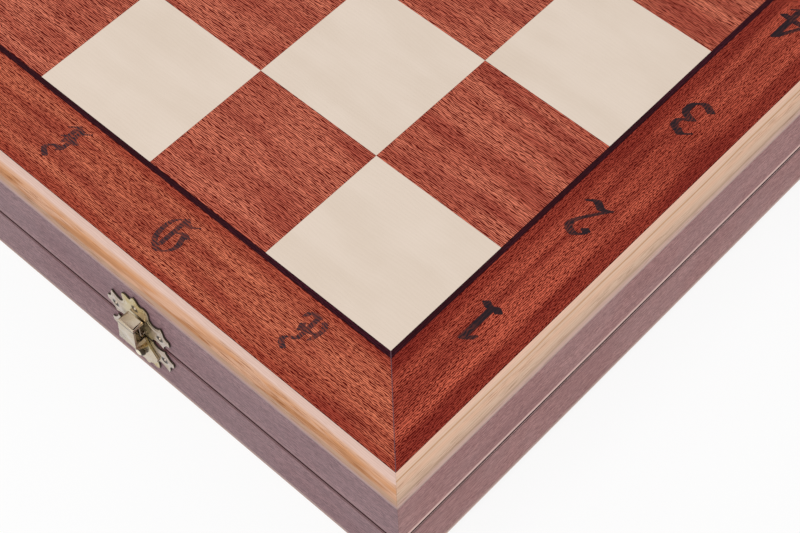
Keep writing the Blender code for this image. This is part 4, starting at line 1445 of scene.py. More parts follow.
    def build_bands(self) -> None:
        """The stringing and the border, tight against the squares."""
        name = self.half.value
        inner = self.rank_edges[0] - self.front
        joint = self.joint / 2
        string = self.joined_strips(
            f"{name}_string_line",
            lambda side, seed: self.band(inner - joint, self.string_outer + joint, 0.0, self.veneer, side, seed),
        )
        settle(string, STRINGING, self.body, [f"{name}_stringing"])
        outer = self.edge_radius + self.shadow_gap
        for word, sides, finish in (("front", ("front",), MAHOGANY_FRONT), ("end", ("left", "right"), MAHOGANY_END)):
            border = self.joined_strips(
                f"{name}_{word}_border",
                lambda side, seed: self.band(self.string_outer - joint, outer, 0.0, self.veneer, side, seed),
                sides,
            )
            settle(border, finish, self.body, [f"{name}_border_veneer"] if word == "front" else [])

    def rail_section(self) -> tuple[list[Point2], list[float]]:
        """Section of a rail and its grain distances, from the rounded edge round to the veneer seat."""
        radius = self.edge_radius
        edge = arc((radius, radius), radius, -90, -180, self.edge_steps)
        seat = self.veneer + self.joint
        lip = self.height - self.lip + self.joint
        chamfer = 0.3 * MM
        lip_height = self.height - chamfer - lip
        section = [
            *edge,
            (seat, radius + self.joint),
            (seat, lip),
            (0.0, lip),
            (0.0, self.height - chamfer),
            (chamfer, self.height),
            (self.wall - chamfer, self.height),
            (self.wall, self.height - chamfer),
            (self.wall, seat + self.panel_thickness + 0.3 * MM),
            (self.wall - self.ledge, seat + self.panel_thickness + 0.3 * MM),
            (self.wall - self.ledge, seat),
            (radius, seat),
        ]
        across = [radius * math.pi / 2 * n / self.edge_steps for n in range(len(edge))]
        across += [LIP_START - MM, LIP_START - MM / 2, LIP_END - lip_height, LIP_END, LIP_END + 0.42 * MM]
        while len(across) < len(section):
            across.append(across[-1] + math.dist(section[len(across) - 1], section[len(across)]))
        return section, across

    def build_rails(self) -> None:
        """The front rail and both end rails, mitred at the corners."""
        name = self.half.value
        end_pine = END_PINE if self.half is Half.UPPER else LOWER_END_PINE
        for side, finish, seed in (("front", FRONT_PINE, 1.0), ("left", end_pine, 2.0), ("right", end_pine, 3.0)):
            section, across = self.rail_section()
            shape = self.strip(section, side, self.seed + seed, across)
            piece = from_shape(f"{name}_{side}_edge", shape)
            settle(piece, finish, self.body, [f"{name}_{side}_rail"])

    def build_sides(self) -> None:
        """The side veneer, with a sanded pale line along its top edge."""
        name = self.half.value
        top = self.edge_radius + self.joint
        split = top + self.sanded_line
        foot = self.height - self.lip
        fine = 0.06 * MM

        def sheet(start: float, end: float) -> Callable[[str, float], bmesh.types.BMesh]:
            profile = ((fine, start), (0.0, start + fine), (0.0, end - fine), (fine, end), (self.veneer, end), (self.veneer, start))
            return lambda side, seed: self.strip(profile, side, seed)

        facing = sheet(split, foot)
        front = self.joined_strips(f"{name}_front_facing", facing, ("front",))
        front_veneer, end_veneer = SIDE_VENEERS[self.half]
        settle(front, front_veneer, self.body, [f"{name}_side_veneer"])
        ends = self.joined_strips(f"{name}_end_facing", facing, ("left", "right"))
        settle(ends, end_veneer, self.body)
        sanded = sheet(top, split - 0.01 * MM)
        settle(self.joined_strips(f"{name}_front_line", sanded, ("front",)), FRONT_SANDED_LINE_SHADED_COPY, self.body)
        settle(self.joined_strips(f"{name}_end_line", sanded, ("left", "right")), END_SANDED_LINE_LIT_COPY, self.body)

    def build_lettering(self, pen: BroadPen) -> None:
        """Letters on the front border and digits on both end borders."""
        lift = 0.012 * MM
        flip = Matrix.Identity(4) if self.half is Half.UPPER else Matrix.Diagonal((-1.0, 1.0, -1.0, 1.0))
        level = self.z(-lift)
        letters, digits = [], []
        border_middle = self.front + (self.edge_radius + self.string_outer) / 2 + self.letter_shift
        for number, file in enumerate(self.files):
            x = (self.file_edges[number] + self.file_edges[number + 1]) / 2
            aside, inward = STAMP_SHIFTS.get(file, (0.0, 0.0))
            letters.append((file.upper(), Matrix.Translation((x + aside, border_middle + inward, level)) @ flip))
        reach = self.half_length - (self.edge_radius + self.string_outer) / 2 - self.digit_shift
        for end in End:
            turn = Matrix.Rotation(math.pi if end is End.RIGHT else 0.0, 4, "Z")
            for number, rank in enumerate(self.ranks):
                y = (self.rank_edges[number] + self.rank_edges[number + 1]) / 2
                digits.append((str(rank), Matrix.Translation((end.value * reach, y, level)) @ turn @ flip))
        for word, signs, finish in (("letters", letters, FADED_INK), ("digits", digits, INK)):
            shape = bmesh.new()
            for sign, matrix in signs:
                pen.write(shape, sign, matrix)
            layer = shape.loops.layers.float_vector.new("grain")
            for face in shape.faces:
                for loop in face.loops:
                    along, across, _ = loop.vert.co if word == "letters" else loop.vert.co.yxz
                    loop[layer] = (along, across, 1.0)
            mesh = bpy.data.meshes.new(word)
            shape.to_mesh(mesh)
            shape.free()
            settle(mesh_object(f"{self.half.value}_{word}", mesh), finish, self.body)

    def build_lining(self) -> None:
        """A sheet of felt laid on the inside of the panel, slightly uneven at its edges."""
        name = self.half.value
        low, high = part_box(f"{name}_lining")
        inset = 0.4 * MM
        size = Vector((high[0] - low[0] - 2 * inset, high[1] - low[1] - 2 * inset, 0))
        shape = bmesh.new()
        columns, rows = 96, 44
        middle = Vector(((low[0] + high[0]) / 2, (low[1] + high[1]) / 2, 0))
        made = bmesh.ops.create_grid(shape, x_segments=columns, y_segments=rows, size=0.5)["verts"]
        under = self.veneer + self.panel_thickness + 0.1 * MM
        for vert in made:
            u, v = vert.co.x * 2, vert.co.y * 2
            ripple = self.felt_ripple * math.sin(u * 31 + v * 7) * math.sin(v * 23 - u * 5)
            depth = under + self.felt / 2 + self.felt_ripple + ripple
            vert.co = Vector((middle.x + vert.co.x * size.x, middle.y + vert.co.y * size.y, self.z(depth)))
        piece = from_shape(f"{name}_felt", shape)
        solid = piece.modifiers.new("thickness", "SOLIDIFY")
        solid.thickness = self.felt
        solid.offset = 0.0
        piece = applied(piece)
        settle(piece, FELT, self.body, [f"{name}_lining"])

    def dress_back_rail(self) -> None:
        """Bare wood on the back rail, whose solid stays."""
        dress(f"{self.half.value}_back_rail", BARE_PINE)


# Metalwork

# Outline of the right half of a clasp plate, from its tip down to its foot.
# Each row is x, z and the bulge of the stretch to the next row, outwards if above 0.
PLATE_OUTLINE_SHARES = (
    (0.000, 1.000, 0.10),
    (0.105, 0.910, -0.10),
    (0.190, 0.845, 0.28),
    (0.415, 0.850, 0.06),
    (0.415, 0.635, -0.34),
    (0.690, 0.590, -0.10),
    (0.780, 0.670, 0.08),
    (0.850, 0.475, -0.16),
    (0.985, 0.385, 0.10),
    (1.000, 0.240, -0.14),
    (0.850, 0.160, -0.10),
    (0.770, 0.005, -0.12),
    (0.545, 0.085, -0.20),
    (0.400, 0.000, 0.00),
)
NAIL_SHARES = ((-0.715, 0.315), (0.715, 0.315), (0.000, 0.690))
# Right half of the arm's tail, from its neck down to its foot, about the rivet, in the same way.
TAIL_SHARES = (
    (0.48, 1.00, 0.03),
    (1.00, 0.30, 0.06),
    (0.78, -0.50, 0.12),
    (0.00, -1.00, 0.00),
)
SCREW_SHARES = (-0.33, 0.0, 0.33)
# The arm's S-shaped knee between its neck and its hood, as shares of its way out and up.
KNEE_SHARES = ((0.0, 0.0), (0.12, 0.05), (0.30, 0.18), (0.50, 0.38), (0.70, 0.58), (0.86, 0.80), (0.96, 0.95), (1.0, 1.1))


@dataclass
class Clasp:
    """A stamped box clasp: two ornate plates with nails, and a hooded arm on a rivet."""

    end: End
    sheet: float = 0.6 * MM
    seat: float = 0.3 * MM
    cell: float = 0.3 * MM
    bulge_steps: int = 8
    roll: float = 0.34 * MM
    roll_drop: float = 0.30 * MM
    groove_inset: float = 1.25 * MM
    groove_width: float = 0.45 * MM
    groove_depth: float = 0.12 * MM
    crown: float = 0.16 * MM
    dimple: float = 0.34 * MM
    dimple_radius: float = 1.75 * MM
    shade_reach: float = 8.5 * MM
    crown_start: float = 8.6 * MM
    nail_radius: float = 0.62 * MM
    hook_half_width: float = 2.5 * MM
    hook_depth: float = 2.6 * MM
    hook_foot: float = 1.2 * MM
    hook_top: float = 8.0 * MM
    arm_sheet: float = 0.8 * MM
    arm_clearance: float = 0.3 * MM
    bend: float = 0.2 * MM
    hood_edge: float = 0.5 * MM
    tail_half_width: float = 8.2 * MM
    tail_reach: float = 6.0 * MM
    hood_half_width: float = 4.0 * MM
    hood_corner: float = 0.7 * MM
    hood_foot: float = 1.8 * MM
    foot_left: float = 5.3 * MM
    foot_right: float = 3.2 * MM
    ear_top_left: float = -0.5 * MM
    ear_top_right: float = 0.2 * MM
    ear_hollow: float = 0.05
    hood_back_space: float = 0.6 * MM
    rivet_drop: float = 10.4 * MM
    rivet_radius: float = 1.3 * MM
    rivet_head_radius: float = 2.3 * MM
    rivet_head_height: float = 2.0 * MM
    rim_width: float = 0.38 * MM
    rim_depth: float = 0.24 * MM
    bend_steps: int = 10
    round_steps: int = 40

    def __post_init__(self) -> None:
        """Read the clasp's places from the frame."""
        self.name = f"{self.end.word}_clasp"
        low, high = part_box(f"{self.name}_catch_plate")
        base_low, base_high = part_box(f"{self.name}_base_plate")
        arm_low, arm_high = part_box(f"{self.name}_swing_arm")
        self.x = (low[0] + high[0]) / 2
        self.half_width = (high[0] - low[0]) / 2
        self.parting = (low[2] + base_high[2]) / 2
        self.foot = low[2] - self.parting
        self.height = high[2] - low[2]
        self.face = high[1] + self.seat
        self.arm_back = self.face - arm_high[1]
        self.hood_front = self.face - arm_low[1]
        self.hood_top = arm_high[2]
        self.rivet_z = self.parting - self.rivet_drop

    def front(self, out: float) -> float:
        """Y place that stands this far out of the front face."""
        return self.face - out

    def right_half(self, shares: Sequence[tuple[float, float, float]], width: float, height: float) -> list[Vector]:
        """The right half of an outline from its table, evenly spaced.

        Args:
            shares: Rows of x, z and bulge.
            width: What x counts in.
            height: What z counts in.

        Returns:
            The points from the first row to the last.
        """
        right: list[Vector] = []
        rows = [(Vector((x * width, z * height)), b) for x, z, b in shares]
        for (here, bulge), (there, _) in zip(rows, rows[1:]):
            way = there - here
            steps = max(1, round(way.length / self.cell))
            for n in range(steps):
                t = n / steps
                right.append(here + way * t + Vector((-way.y, way.x)) * (4 * t * (1 - t) * bulge))
        return [*right, rows[-1][0]]

    def plate_outline(self) -> list[Vector]:
        """The outline of a plate as (x, height) from its middle and foot, evenly spaced."""
        right = self.right_half(PLATE_OUTLINE_SHARES, self.half_width, self.height)
        flat = round(2 * right[-1].x / self.cell)
        foot = [Vector((right[-1].x * (1 - 2 * n / flat), right[-1].y)) for n in range(1, flat)]
        left = [Vector((-point.x, point.y)) for point in reversed(right[1:])]
        return right + foot + left

    def relief(self, gap: np.ndarray, spots: np.ndarray) -> np.ndarray:
        """How far the plate's face stands out of its back.

        Args:
            gap: Distance of each point to the outline.
            spots: The points, as rows of (x, height).

        Returns:
            One height for each point.
        """
        edge = np.clip(gap / self.roll, 0, 1)
        height = self.sheet - self.roll_drop * (1 - np.sqrt(1 - (1 - edge) ** 2))
        groove = np.clip(np.abs(gap - self.groove_inset) / self.groove_width, 0, 1)
        height -= self.groove_depth * 0.5 * (1 + np.cos(math.pi * groove)) * (groove < 1)
        height += self.crown * np.clip((gap - self.groove_inset) / self.groove_inset, 0, 1)
        for x_share, z_share in NAIL_SHARES:
            nail = np.array((x_share * self.half_width, z_share * self.height))
            near = np.clip(np.linalg.norm(spots - nail, axis=1) / self.dimple_radius, 0, 1)
            height -= self.dimple * 0.5 * (1 + np.cos(math.pi * near))
        return height

    def plate(self, name: str, side: float) -> bpy.types.Object:
        """A stamped plate with a rolled edge, a groove inside it and dimples for its nails.

        Args:
            name: Name of the piece.
            side: 1 above the parting plane, -1 below it.

        Returns:
            The piece.
        """
        outline = self.plate_outline()
        ring = np.array([tuple(point) for point in outline])
        following = np.roll(ring, -1, axis=0)
        span = following - ring
        lengths = (span**2).sum(axis=1)

        def gap(points: np.ndarray) -> np.ndarray:
            along = ((points[:, None] - ring) * span).sum(axis=2) / lengths
            nearest = ring + np.clip(along, 0, 1)[..., None] * span
            return np.sqrt(((points[:, None] - nearest) ** 2).sum(axis=2)).min(axis=1)

        def inside(points: np.ndarray) -> np.ndarray:
            above = (ring[:, 1] > points[:, 1:2]) != (following[:, 1] > points[:, 1:2])
            run = np.where(np.abs(span[:, 1]) > 1e-12, span[:, 1], 1e-12)
            cross = ring[:, 0] + (points[:, 1:2] - ring[:, 1]) * span[:, 0] / run
            return (above & (points[:, 0:1] < cross)).sum(axis=1) % 2 == 1

        before = np.roll(ring, 1, axis=0)
        way = following - before
        normal = np.stack((way[:, 1], -way[:, 0]), axis=1) / np.linalg.norm(way, axis=1)[:, None]
        chosen = [ring]
        for inset in (0.06 * MM, 0.16 * MM, 0.34 * MM):
            shifted = ring + normal * inset
            kept = inside(shifted) & (gap(shifted) > 0.93 * inset)
            chosen.append(shifted[kept])
        xs = np.arange(-self.half_width, self.half_width, self.cell)
        zs = np.arange(0, self.height, self.cell * 0.87)
        grid = np.array([(x + (row % 2) * self.cell / 2, z) for row, z in enumerate(zs) for x in xs])
        chosen.append(grid[inside(grid) & (gap(grid) > 0.55 * MM)])
        points = np.concatenate(chosen)
        count = len(ring)
        scaled = [Vector(point) for point in points / MM]
        region = [list(reversed(range(count)))]
        verts, _, found, _, _, owners = geometry.delaunay_2d_cdt(scaled, [], region, 1, 1e-5, True)
        faces = [face for face, owner in zip(found, owners) if owner]
        spots = np.array([tuple(vert) for vert in verts]) * MM
        rise = self.relief(gap(spots), spots)
        shape = bmesh.new()
        layer = shape.verts.layers.float.new("soil")
        gilding = shape.verts.layers.float.new("gilt")

        def at(spot: np.ndarray, out: float) -> bmesh.types.BMVert:
            level = self.parting + side * (self.foot + spot[1])
            return shape.verts.new((self.x + spot[0], self.front(self.seat + out), level))

        raised = [at(spot, out) for spot, out in zip(spots, rise)]
        sunk = [at(spot, 0.0) for spot in spots]
        # Painted shade: a dark outline along the plate's rolled edge; its sides and back are painted dark as well.
        edge = 0.95 * np.clip((0.14 * MM - gap(spots)) / (0.08 * MM), 0, 1)
        soiled_and_shaded = np.maximum(self.soiling(spots, side), edge)
        for vert, under, soil_and_shade_share, gold in zip(raised, sunk, soiled_and_shaded, self.gilding(spots, side)):
            vert[layer] = soil_and_shade_share
            vert[gilding] = gold
            under[layer] = 0.9
        place_of = {vert: n for n, vert in enumerate(raised)}
        for face in faces:
            shape.faces.new([raised[n] for n in face])
            shape.faces.new([sunk[n] for n in reversed(face)])
        for edge in [edge for edge in shape.edges if edge.is_boundary and edge.verts[0] in place_of]:
            a, b = (place_of[vert] for vert in edge.verts)
            shape.faces.new((raised[a], raised[b], sunk[b], sunk[a]))
        return from_shape(name, shape, sharp=50.0)

    def soiling(self, spots: np.ndarray, side: float) -> np.ndarray:
        """How dark a plate's face is painted: soil and painted shade round its nails, and a painted shadow beside the
        arm.

        Args:
            spots: The points, as rows of (x, height).
            side: 1 above the parting plane, -1 below it.

        Returns:
            One share for each point.
        """
        soil_and_shade_share = np.zeros(len(spots))
        # Soil and painted shade in the dimples round each nail.
        for x_share, z_share in NAIL_SHARES:
            nail = np.array((x_share * self.half_width, z_share * self.height))
            away = np.linalg.norm(spots - nail, axis=1) / self.nail_radius
            soil_and_shade_share = np.maximum(soil_and_shade_share, 0.97 * np.clip((3.1 - away) / 0.8, 0, 1))
        # Painted shadow that the arm casts on the plate beside it.
        reach = self.shade_reach if side > 0 else self.shade_reach + MM
        beside = np.clip((reach - np.abs(spots[:, 0])) / (1.6 * MM), 0, 1)
        low = np.clip((self.shade_reach - spots[:, 1]) / (2.5 * MM), 0, 1)
        return np.maximum(soil_and_shade_share, 0.4 * beside * low)

    def gilding(self, spots: np.ndarray, side: float) -> np.ndarray:
        """How well the yellow plating holds: on the crown above the hood and in the arm's shelter.

        Args:
            spots: The points, as rows of (x, height).
            side: 1 above the parting plane, -1 below it.

        Returns:
            One share for each point.
        """
        crown = np.clip((spots[:, 1] - self.crown_start) / (2 * MM), 0, 1)
        crown *= np.clip((6.5 * MM - np.abs(spots[:, 0])) / (2 * MM), 0, 1)
        sheltered = np.clip((self.shade_reach - np.abs(spots[:, 0])) / (3 * MM), 0, 1)
        return np.maximum(crown * (0.85 if side > 0 else 0.25), 0.7 * sheltered)

    def lathe(self, profile: Sequence[Point2], level: float) -> bmesh.types.BMesh:
        """A turned shape about the rivet's line, from (radius, distance out of the front face)."""
        shape = bmesh.new()
        rings = []
        for radius, out in profile:
            turns = self.round_steps if radius else 1
            angles = [math.tau * n / turns for n in range(turns)]
            rings.append([
                shape.verts.new((self.x + radius * math.cos(a), self.front(out), level + radius * math.sin(a)))
                for a in angles
            ])
        for here, there in zip(rings, rings[1:]):
            for n in range(self.round_steps):
                corners = [here[n % len(here)], here[(n + 1) % len(here)], there[(n + 1) % len(there)], there[n % len(there)]]
                unique = [vert for k, vert in enumerate(corners) if vert not in corners[:k]]
                shape.faces.new(unique)
        return shape

    def hook(self) -> bpy.types.Object:
        """The tongue that turns out of the foot of the catch plate and up into the hood."""
        radius = self.hook_depth / 2
        centre = (self.seat + radius, self.parting + self.hook_foot + radius)
        top = self.parting + self.hook_top
        section = [
            *arc(centre, radius, 180, 360, 2 * self.bend_steps),
            (self.seat + self.hook_depth, top),
            (self.seat + self.hook_depth - self.sheet, top),
            *arc(centre, radius - self.sheet, 360, 180, 2 * self.bend_steps),
            (self.seat + self.sheet, self.parting + self.hook_top / 2),
            (self.seat, self.parting + self.hook_top / 2),
        ]
        outline = [Vector((self.x - self.hook_half_width, self.front(out), z)) for out, z in section]
        shape = prism(outline, Vector((2 * self.hook_half_width, 0, 0)))
        return bevelled(from_shape(f"{self.name}_hook", shape), 0.12 * MM)

    def rivet(self) -> bpy.types.Object:
        """The rivet that the arm turns on, with a domed head that is painted dark but for a painted highlight at its
        top.
        """
        neck = self.arm_back + self.arm_sheet + self.arm_clearance
        steps = self.bend_steps
        dome = [
            (
                self.rivet_head_radius * math.cos(math.pi / 2 * n / steps),
                neck + self.rivet_head_height * (0.18 + 0.82 * math.sin(math.pi / 2 * n / steps)),
            )
            for n in range(steps)
        ]
        foot = self.seat + self.sheet / 2
        under = (self.rivet_head_radius * 0.96, neck)
        profile = [(0, foot), (self.rivet_radius, foot), (self.rivet_radius, neck), under, *dome]
        profile.append((0, neck + self.rivet_head_height))
        piece = from_shape(f"{self.name}_rivet", self.lathe(profile, self.rivet_z))
        # Painted reflection: the dome is painted dark, and a bright spot at its top is a painted highlight.
        soil = piece.data.attributes.new("soil", "FLOAT", "POINT")
        for vert, value in zip(piece.data.vertices, soil.data):
            away = math.hypot(vert.co.x - self.x, vert.co.z - self.rivet_z) / self.rivet_head_radius
            value.value = 0.0 if away < 0.6 else 0.96
        return piece

    def arm_section(self) -> list[Point2]:
        """Side view of the bent arm as (distance out of the front face, height)."""
        back, sheet, front = self.arm_back, self.arm_sheet, self.hood_front - self.arm_sheet
        foot = self.parting - self.hood_foot
        slope = front - back
        tail = self.rivet_z - self.tail_reach - MM
        corner = self.bend + sheet
        centre = (self.hood_front - corner, self.hood_top - corner)
        round_centre = (self.hood_front - self.hood_edge, self.hood_top - self.hood_edge)
        outer = arc(round_centre, self.hood_edge, 0, 90, self.bend_steps)
        inner = arc(centre, self.bend, 90, 0, self.bend_steps)
        hood_back = self.seat + self.sheet + self.hood_back_space
        knee = foot - slope / 2
        swell = [(back + sheet + slope * s, knee - sheet / 2 + slope / 2 * h) for s, h in KNEE_SHARES]
        dip = [(back + slope * s, knee + slope / 2 * h) for s, h in reversed(KNEE_SHARES)]
        return [
            (back, tail),
            (back + sheet, tail),
            *swell,
            *outer,
            (hood_back, self.hood_top),
            (hood_back, self.hood_top - sheet),
            *inner,
            *dip,
        ]

    def arm_outline(self) -> list[Point2]:
        """Front view of the arm: a bell-shaped tail and the hood, as (x, height)."""
        corner = self.hood_half_width - self.hood_corner
        right = self.right_half(TAIL_SHARES, self.tail_half_width, self.tail_reach)
        left = [Vector((-point.x, point.y)) for point in reversed(right[:-1])]
        round_top = self.hood_top - self.hood_corner
        return [
            *((self.x + point.x, self.rivet_z + point.y) for point in right + left),
            (self.x - self.foot_left, self.rivet_z + self.tail_reach),
            (self.x - self.foot_left, self.parting - self.hood_foot),
            *arc((self.x - corner, round_top), self.hood_corner, 180, 90, self.bend_steps),
            *arc((self.x + corner, round_top), self.hood_corner, 90, 0, self.bend_steps),
            (self.x + self.foot_right, self.parting - self.hood_foot),
        ]

    def swing_arm(self) -> bpy.types.Object:
        """The bent arm, cut to its outline, bored for the rivet and softened at its edges."""
        reach = 2 * self.tail_half_width
        section = [Vector((self.x - reach, self.front(out), z)) for out, z in self.arm_section()]
        arm = from_shape(f"{self.name}_arm", prism(section, Vector((2 * reach, 0, 0))))
        deep = self.hood_front + MM
        face = [Vector((x, self.front(deep), z)) for x, z in self.arm_outline()]
        arm = combined(arm, from_shape("cutter", prism(face, Vector((0, deep, 0)))), "INTERSECT")
        for edge, top in ((-self.foot_left, self.ear_top_left), (self.foot_right, self.ear_top_right)):
            arm = combined(arm, from_shape("cheek", self.cheek(edge, self.parting + top)), "UNION")
            arm = combined(arm, from_shape("ear", self.ear(edge, self.parting + top)), "UNION")
        bore = self.rivet_radius + self.arm_clearance
        hole = self.lathe(((0, 0), (bore, 0), (bore, self.hood_front), (0, self.hood_front)), self.rivet_z)
        arm = combined(arm, from_shape("cutter", hole), "DIFFERENCE")
        self.sink_hood_top(arm)
        arm = bevelled(arm, 0.11 * MM, 3)
        self.gild_cheeks(arm)
        return arm

    def cheek(self, edge: float, top: float) -> bmesh.types.BMesh:
        """A side of the hood's lower half, between its front and the base plate.

        Args:
            edge: Place of its outer face, along X from the rivet.
            top: Level of its upper edge.

        Returns:
            The cheek's solid.
        """
        _, sheet, *swell = self.arm_section()[: len(KNEE_SHARES) + 2]
        inset = 0.1 * MM
        side = [(out - inset, z + inset) for out, z in swell]
        side = [(self.arm_back, side[0][1]), *side, (side[-1][0], top), (self.arm_back, top)]
        start = edge + inset if edge < 0 else edge - self.arm_sheet
        outline = [Vector((self.x + start, self.front(out), z)) for out, z in side]
        return prism(outline, Vector((self.arm_sheet - inset, 0, 0)))

    def ear(self, edge: float, top: float) -> bmesh.types.BMesh:
        """The flat flange beside a cheek, which widens down into the tail.

        Args:
            edge: Place of the cheek's outer face, along X from the rivet.
            top: Level of its upper edge.

        Returns:
            The flange's solid.
        """
        sign = math.copysign(1.0, edge)
        low = self.rivet_z + TAIL_SHARES[1][1] * self.tail_reach
        start = Vector((edge + sign * 0.3 * MM, top))
        end = Vector((sign * self.tail_half_width, low))
        way = end - start
        inwards = Vector((way.y, -way.x)) * sign
        steps = self.bulge_steps
        curve = [start + way * (n / steps) + inwards * (4 * n / steps * (1 - n / steps) * self.ear_hollow) for n in range(steps + 1)]
        inner = edge - sign * self.arm_sheet
        spots = [Vector((inner, top)), *curve, Vector((inner, low))]
        outline = [Vector((self.x + spot.x, self.front(self.arm_back), spot.y)) for spot in spots]
        return prism(outline, Vector((0, -self.arm_sheet, 0)))

    def gild_cheeks(self, arm: bpy.types.Object) -> None:
        """Mark the sheltered cheeks and flanges of the arm, where the yellow plating holds."""
        gilt = arm.data.attributes.new("gilt", "FLOAT", "POINT")
        soil = arm.data.attributes.new("soil", "FLOAT", "POINT")
        for vert, gold, soil_and_shade_share in zip(arm.data.vertices, gilt.data, soil.data):
            aside = vert.co.x - self.x
            beside = aside > self.foot_right - 0.05 * MM or aside < 0.15 * MM - self.foot_left
            sheltered = beside and vert.co.y > self.front(self.hood_front - 0.2 * MM)
            low = (vert.co.z - self.rivet_z) / self.tail_reach
            share = min(max(low, 0.0), 1.0) if sheltered and vert.co.z < self.parting + MM else 0.0
            gold.value, soil_and_shade_share.value = 0.9 * share, 0.0

    def sink_hood_top(self, arm: bpy.types.Object) -> None:
        """Leave a raised rim round the flat top of the hood."""
        shape = bmesh.new()
        shape.from_mesh(arm.data)
        shape.faces.ensure_lookup_table()
        top = [face for face in shape.faces if face.calc_center_median().z > self.hood_top - 0.01 * MM]
        bmesh.ops.inset_region(shape, faces=top, thickness=self.rim_width, depth=0.0, use_even_offset=True)
        bmesh.ops.inset_region(shape, faces=top, thickness=self.rim_depth, depth=-self.rim_depth)
        shape.to_mesh(arm.data)
        shape.free()

    def nails(self, side: float) -> list[Vector]:
        """Places of a plate's nails, at the bottom of their dimples."""
        out = self.seat + self.sheet + self.crown - self.dimple
        return [
            Vector((self.x + x * self.half_width, self.front(out), self.parting + side * (self.foot + z * self.height)))
            for x, z in NAIL_SHARES
        ]

    def build(self) -> None:
        """Build and dress every piece of the clasp."""
        upper, lower = "upper_tray", "lower_tray"
        catch = self.plate(f"{self.name}_catch", 1.0)
        settle(catch, BRASS, upper, [f"{self.name}_catch_plate"])
        settle(self.hook(), BRASS, upper)
        base = self.plate(f"{self.name}_base", -1.0)
        settle(base, BRASS, lower, [f"{self.name}_base_plate"])
        settle(self.rivet(), RIVET_BRASS_PAINTED_HIGHLIGHT, lower)
        settle(self.swing_arm(), HOOD_BRASS, f"{self.name}_arm", [f"{self.name}_swing_arm"])


@dataclass
class Hinge:
    """A butt hinge at the back. Its leaves stay; they get their finish and slotted screws."""

    end: End
    leaf_depth: float = 9.2 * MM
    barrel_radius: float = 2.0 * MM
    axis_back: float = 0.15 * MM
    leaf_space: float = 0.5 * MM
    screw_sunk: float = 0.22 * MM
    screw_radius: float = 1.45 * MM

    def screws(self, half: Half) -> list[Vector]:
        """Places of a leaf's screws, below the leaf's inner face."""
        low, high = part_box(f"{self.end.word}_hinge_{half.value}_leaf")
        axis = high[1] - self.barrel_radius
        parting = (low[2] + high[2]) / 2
        away = 1.0 if half is Half.UPPER else -1.0
        y = axis - self.barrel_radius - self.leaf_depth / 2
        z = parting + away * (self.leaf_space / 2 + self.screw_sunk)
        middle, length = (low[0] + high[0]) / 2, high[0] - low[0]
        return [Vector((middle + share * length, y, z)) for share in SCREW_SHARES]

    def build(self) -> None:
        """Dress both leaves."""
        for half in Half:
            dress(f"{self.end.word}_hinge_{half.value}_leaf", BRASS)


# Studio


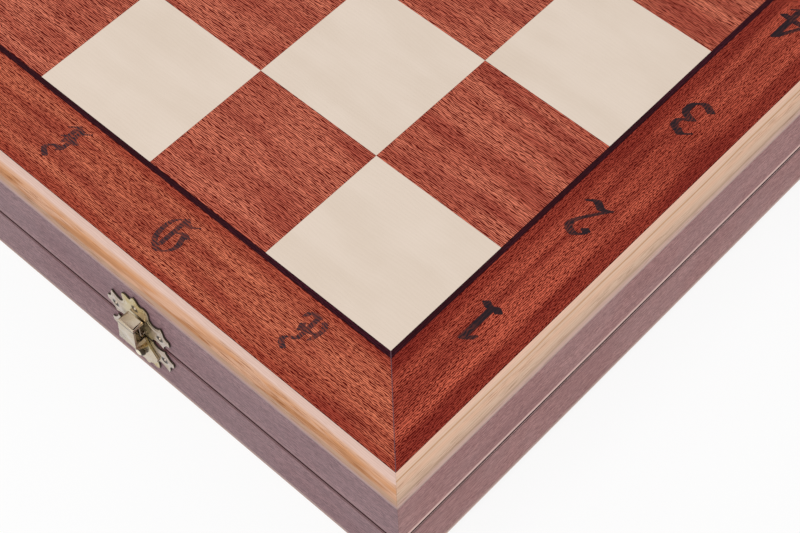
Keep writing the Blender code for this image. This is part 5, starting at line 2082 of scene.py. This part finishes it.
@dataclass
class Studio:
    """A pale floor, a white surrounding, one broad lamp and the camera."""

    floor_reach: float = 4.0
    floor_drop: float = 0.06 * MM
    floor_tone: float = 0.86
    floor_glow: float = 0.88
    sky: float = 0.66
    lamp_size: float = 1.6
    lamp_place: tuple = (0.2, -1.5, 2.1)
    lamp_power: float = 30.0
    lens: float = 90.192
    camera_place: tuple = (0.475195, -0.329673, 0.629323)
    camera_turn: tuple = (33.46298, 1.47569, 42.88622)

    def set_floor(self) -> None:
        """The floor, which is white to the camera and keeps a soft shadow."""
        shape = bmesh.new()
        grid = bmesh.ops.create_grid(shape, x_segments=8, y_segments=8, size=self.floor_reach)
        bmesh.ops.translate(shape, vec=(0, 0, -self.floor_drop), verts=grid["verts"])
        floor = from_shape("studio_floor", shape)
        material = bpy.data.materials.new("studio_floor")
        material.use_nodes = True
        graph = Graph(material.node_tree)
        nodes = material.node_tree.nodes
        shader = nodes["Principled BSDF"]
        shader.inputs["Base Color"].default_value = opaque((self.floor_tone,) * 3)
        shader.inputs["Roughness"].default_value = 1.0
        shader.inputs["Specular IOR Level"].default_value = 0.0
        glow = graph.add("ShaderNodeEmission", {"Color": (1, 1, 1, 1), "Strength": 1.0})
        share = graph.maths("MULTIPLY", self.seen(graph), self.floor_glow)
        mixed = graph.add("ShaderNodeMixShader", {0: share, 1: shader.outputs[0], 2: glow.outputs[0]})
        graph.feed(nodes["Material Output"].inputs["Surface"], mixed.outputs[0])
        floor.data.materials.append(material)

    @staticmethod
    def seen(graph: Graph) -> bpy.types.NodeSocket:
        """1 for what the camera, a mirror or a clear surface looks at."""
        path = graph.add("ShaderNodeLightPath").outputs
        mirrored = graph.maths("MAXIMUM", path["Is Glossy Ray"], path["Is Transmission Ray"])
        return graph.maths("MAXIMUM", path["Is Camera Ray"], mirrored)

    def set_sky(self) -> None:
        """Plain soft light from all round, white where it is looked at."""
        world = bpy.data.worlds.new("studio")
        world.use_nodes = True
        graph = Graph(world.node_tree)
        seen = self.seen(graph)
        strength = graph.maths("MULTIPLY_ADD", seen, 1.0 - self.sky, self.sky)
        background = world.node_tree.nodes["Background"]
        background.inputs["Color"].default_value = (1, 1, 1, 1)
        graph.feed(background.inputs["Strength"], strength)
        bpy.context.scene.world = world

    def set_lamp(self) -> None:
        """One broad lamp over the left front."""
        data = bpy.data.lights.new("softbox", "AREA")
        data.size = self.lamp_size
        data.energy = self.lamp_power
        lamp = bpy.data.objects.new("softbox", data)
        lamp.location = self.lamp_place
        lamp.rotation_euler = (-Vector(self.lamp_place)).to_track_quat("-Z", "Y").to_euler()
        bpy.context.collection.objects.link(lamp)

    def set_camera(self) -> None:
        """The camera, where the photograph was taken from."""
        data = bpy.data.cameras.new("camera")
        data.lens = self.lens
        data.sensor_width = 36.0
        data.clip_start = 0.01
        camera = bpy.data.objects.new("camera", data)
        camera.location = self.camera_place
        camera.rotation_euler = [math.radians(angle) for angle in self.camera_turn]
        bpy.context.collection.objects.link(camera)
        bpy.context.scene.camera = camera

    def build(self) -> None:
        """Set up the floor, the lights, the camera and plain colours."""
        self.set_floor()
        self.set_sky()
        self.set_lamp()
        self.set_camera()
        bpy.context.scene.view_settings.view_transform = "Standard"


def main() -> None:
    """Build the board, piece by piece, and its studio."""
    logging.basicConfig(level=logging.INFO, format="%(message)s", stream=sys.stdout)
    pen = BroadPen()
    chequer = NodeMaker.chequer()
    fasteners = Fasteners()
    for half, ranks in ((Half.UPPER, (1, 2, 3, 4)), (Half.LOWER, (8, 7, 6, 5))):
        Tray(half, ranks).build(pen, chequer)
    clasps = [Clasp(end) for end in End]
    hinges = [Hinge(end) for end in End]
    for part in (*clasps, *hinges):
        part.build()
    for half in Half:
        side = 1.0 if half is Half.UPPER else -1.0
        body = f"{half.value}_tray"
        nails = [place for clasp in clasps for place in clasp.nails(side)]
        rise = (0.55 if half is Half.UPPER else 0.42) * MM
        fasteners.set_in(f"{half.value}_clasp_nails", nails, Vector((0, -1, 0)), clasps[0].nail_radius, rise, False, body)
        screws = [place for hinge in hinges for place in hinge.screws(half)]
        facing = Vector((0, 0, -side))
        fasteners.set_in(f"{half.value}_hinge_screws", screws, facing, hinges[0].screw_radius, 0.3 * MM, True, body)
    Studio().build()


if __name__ == "__main__":
    main()
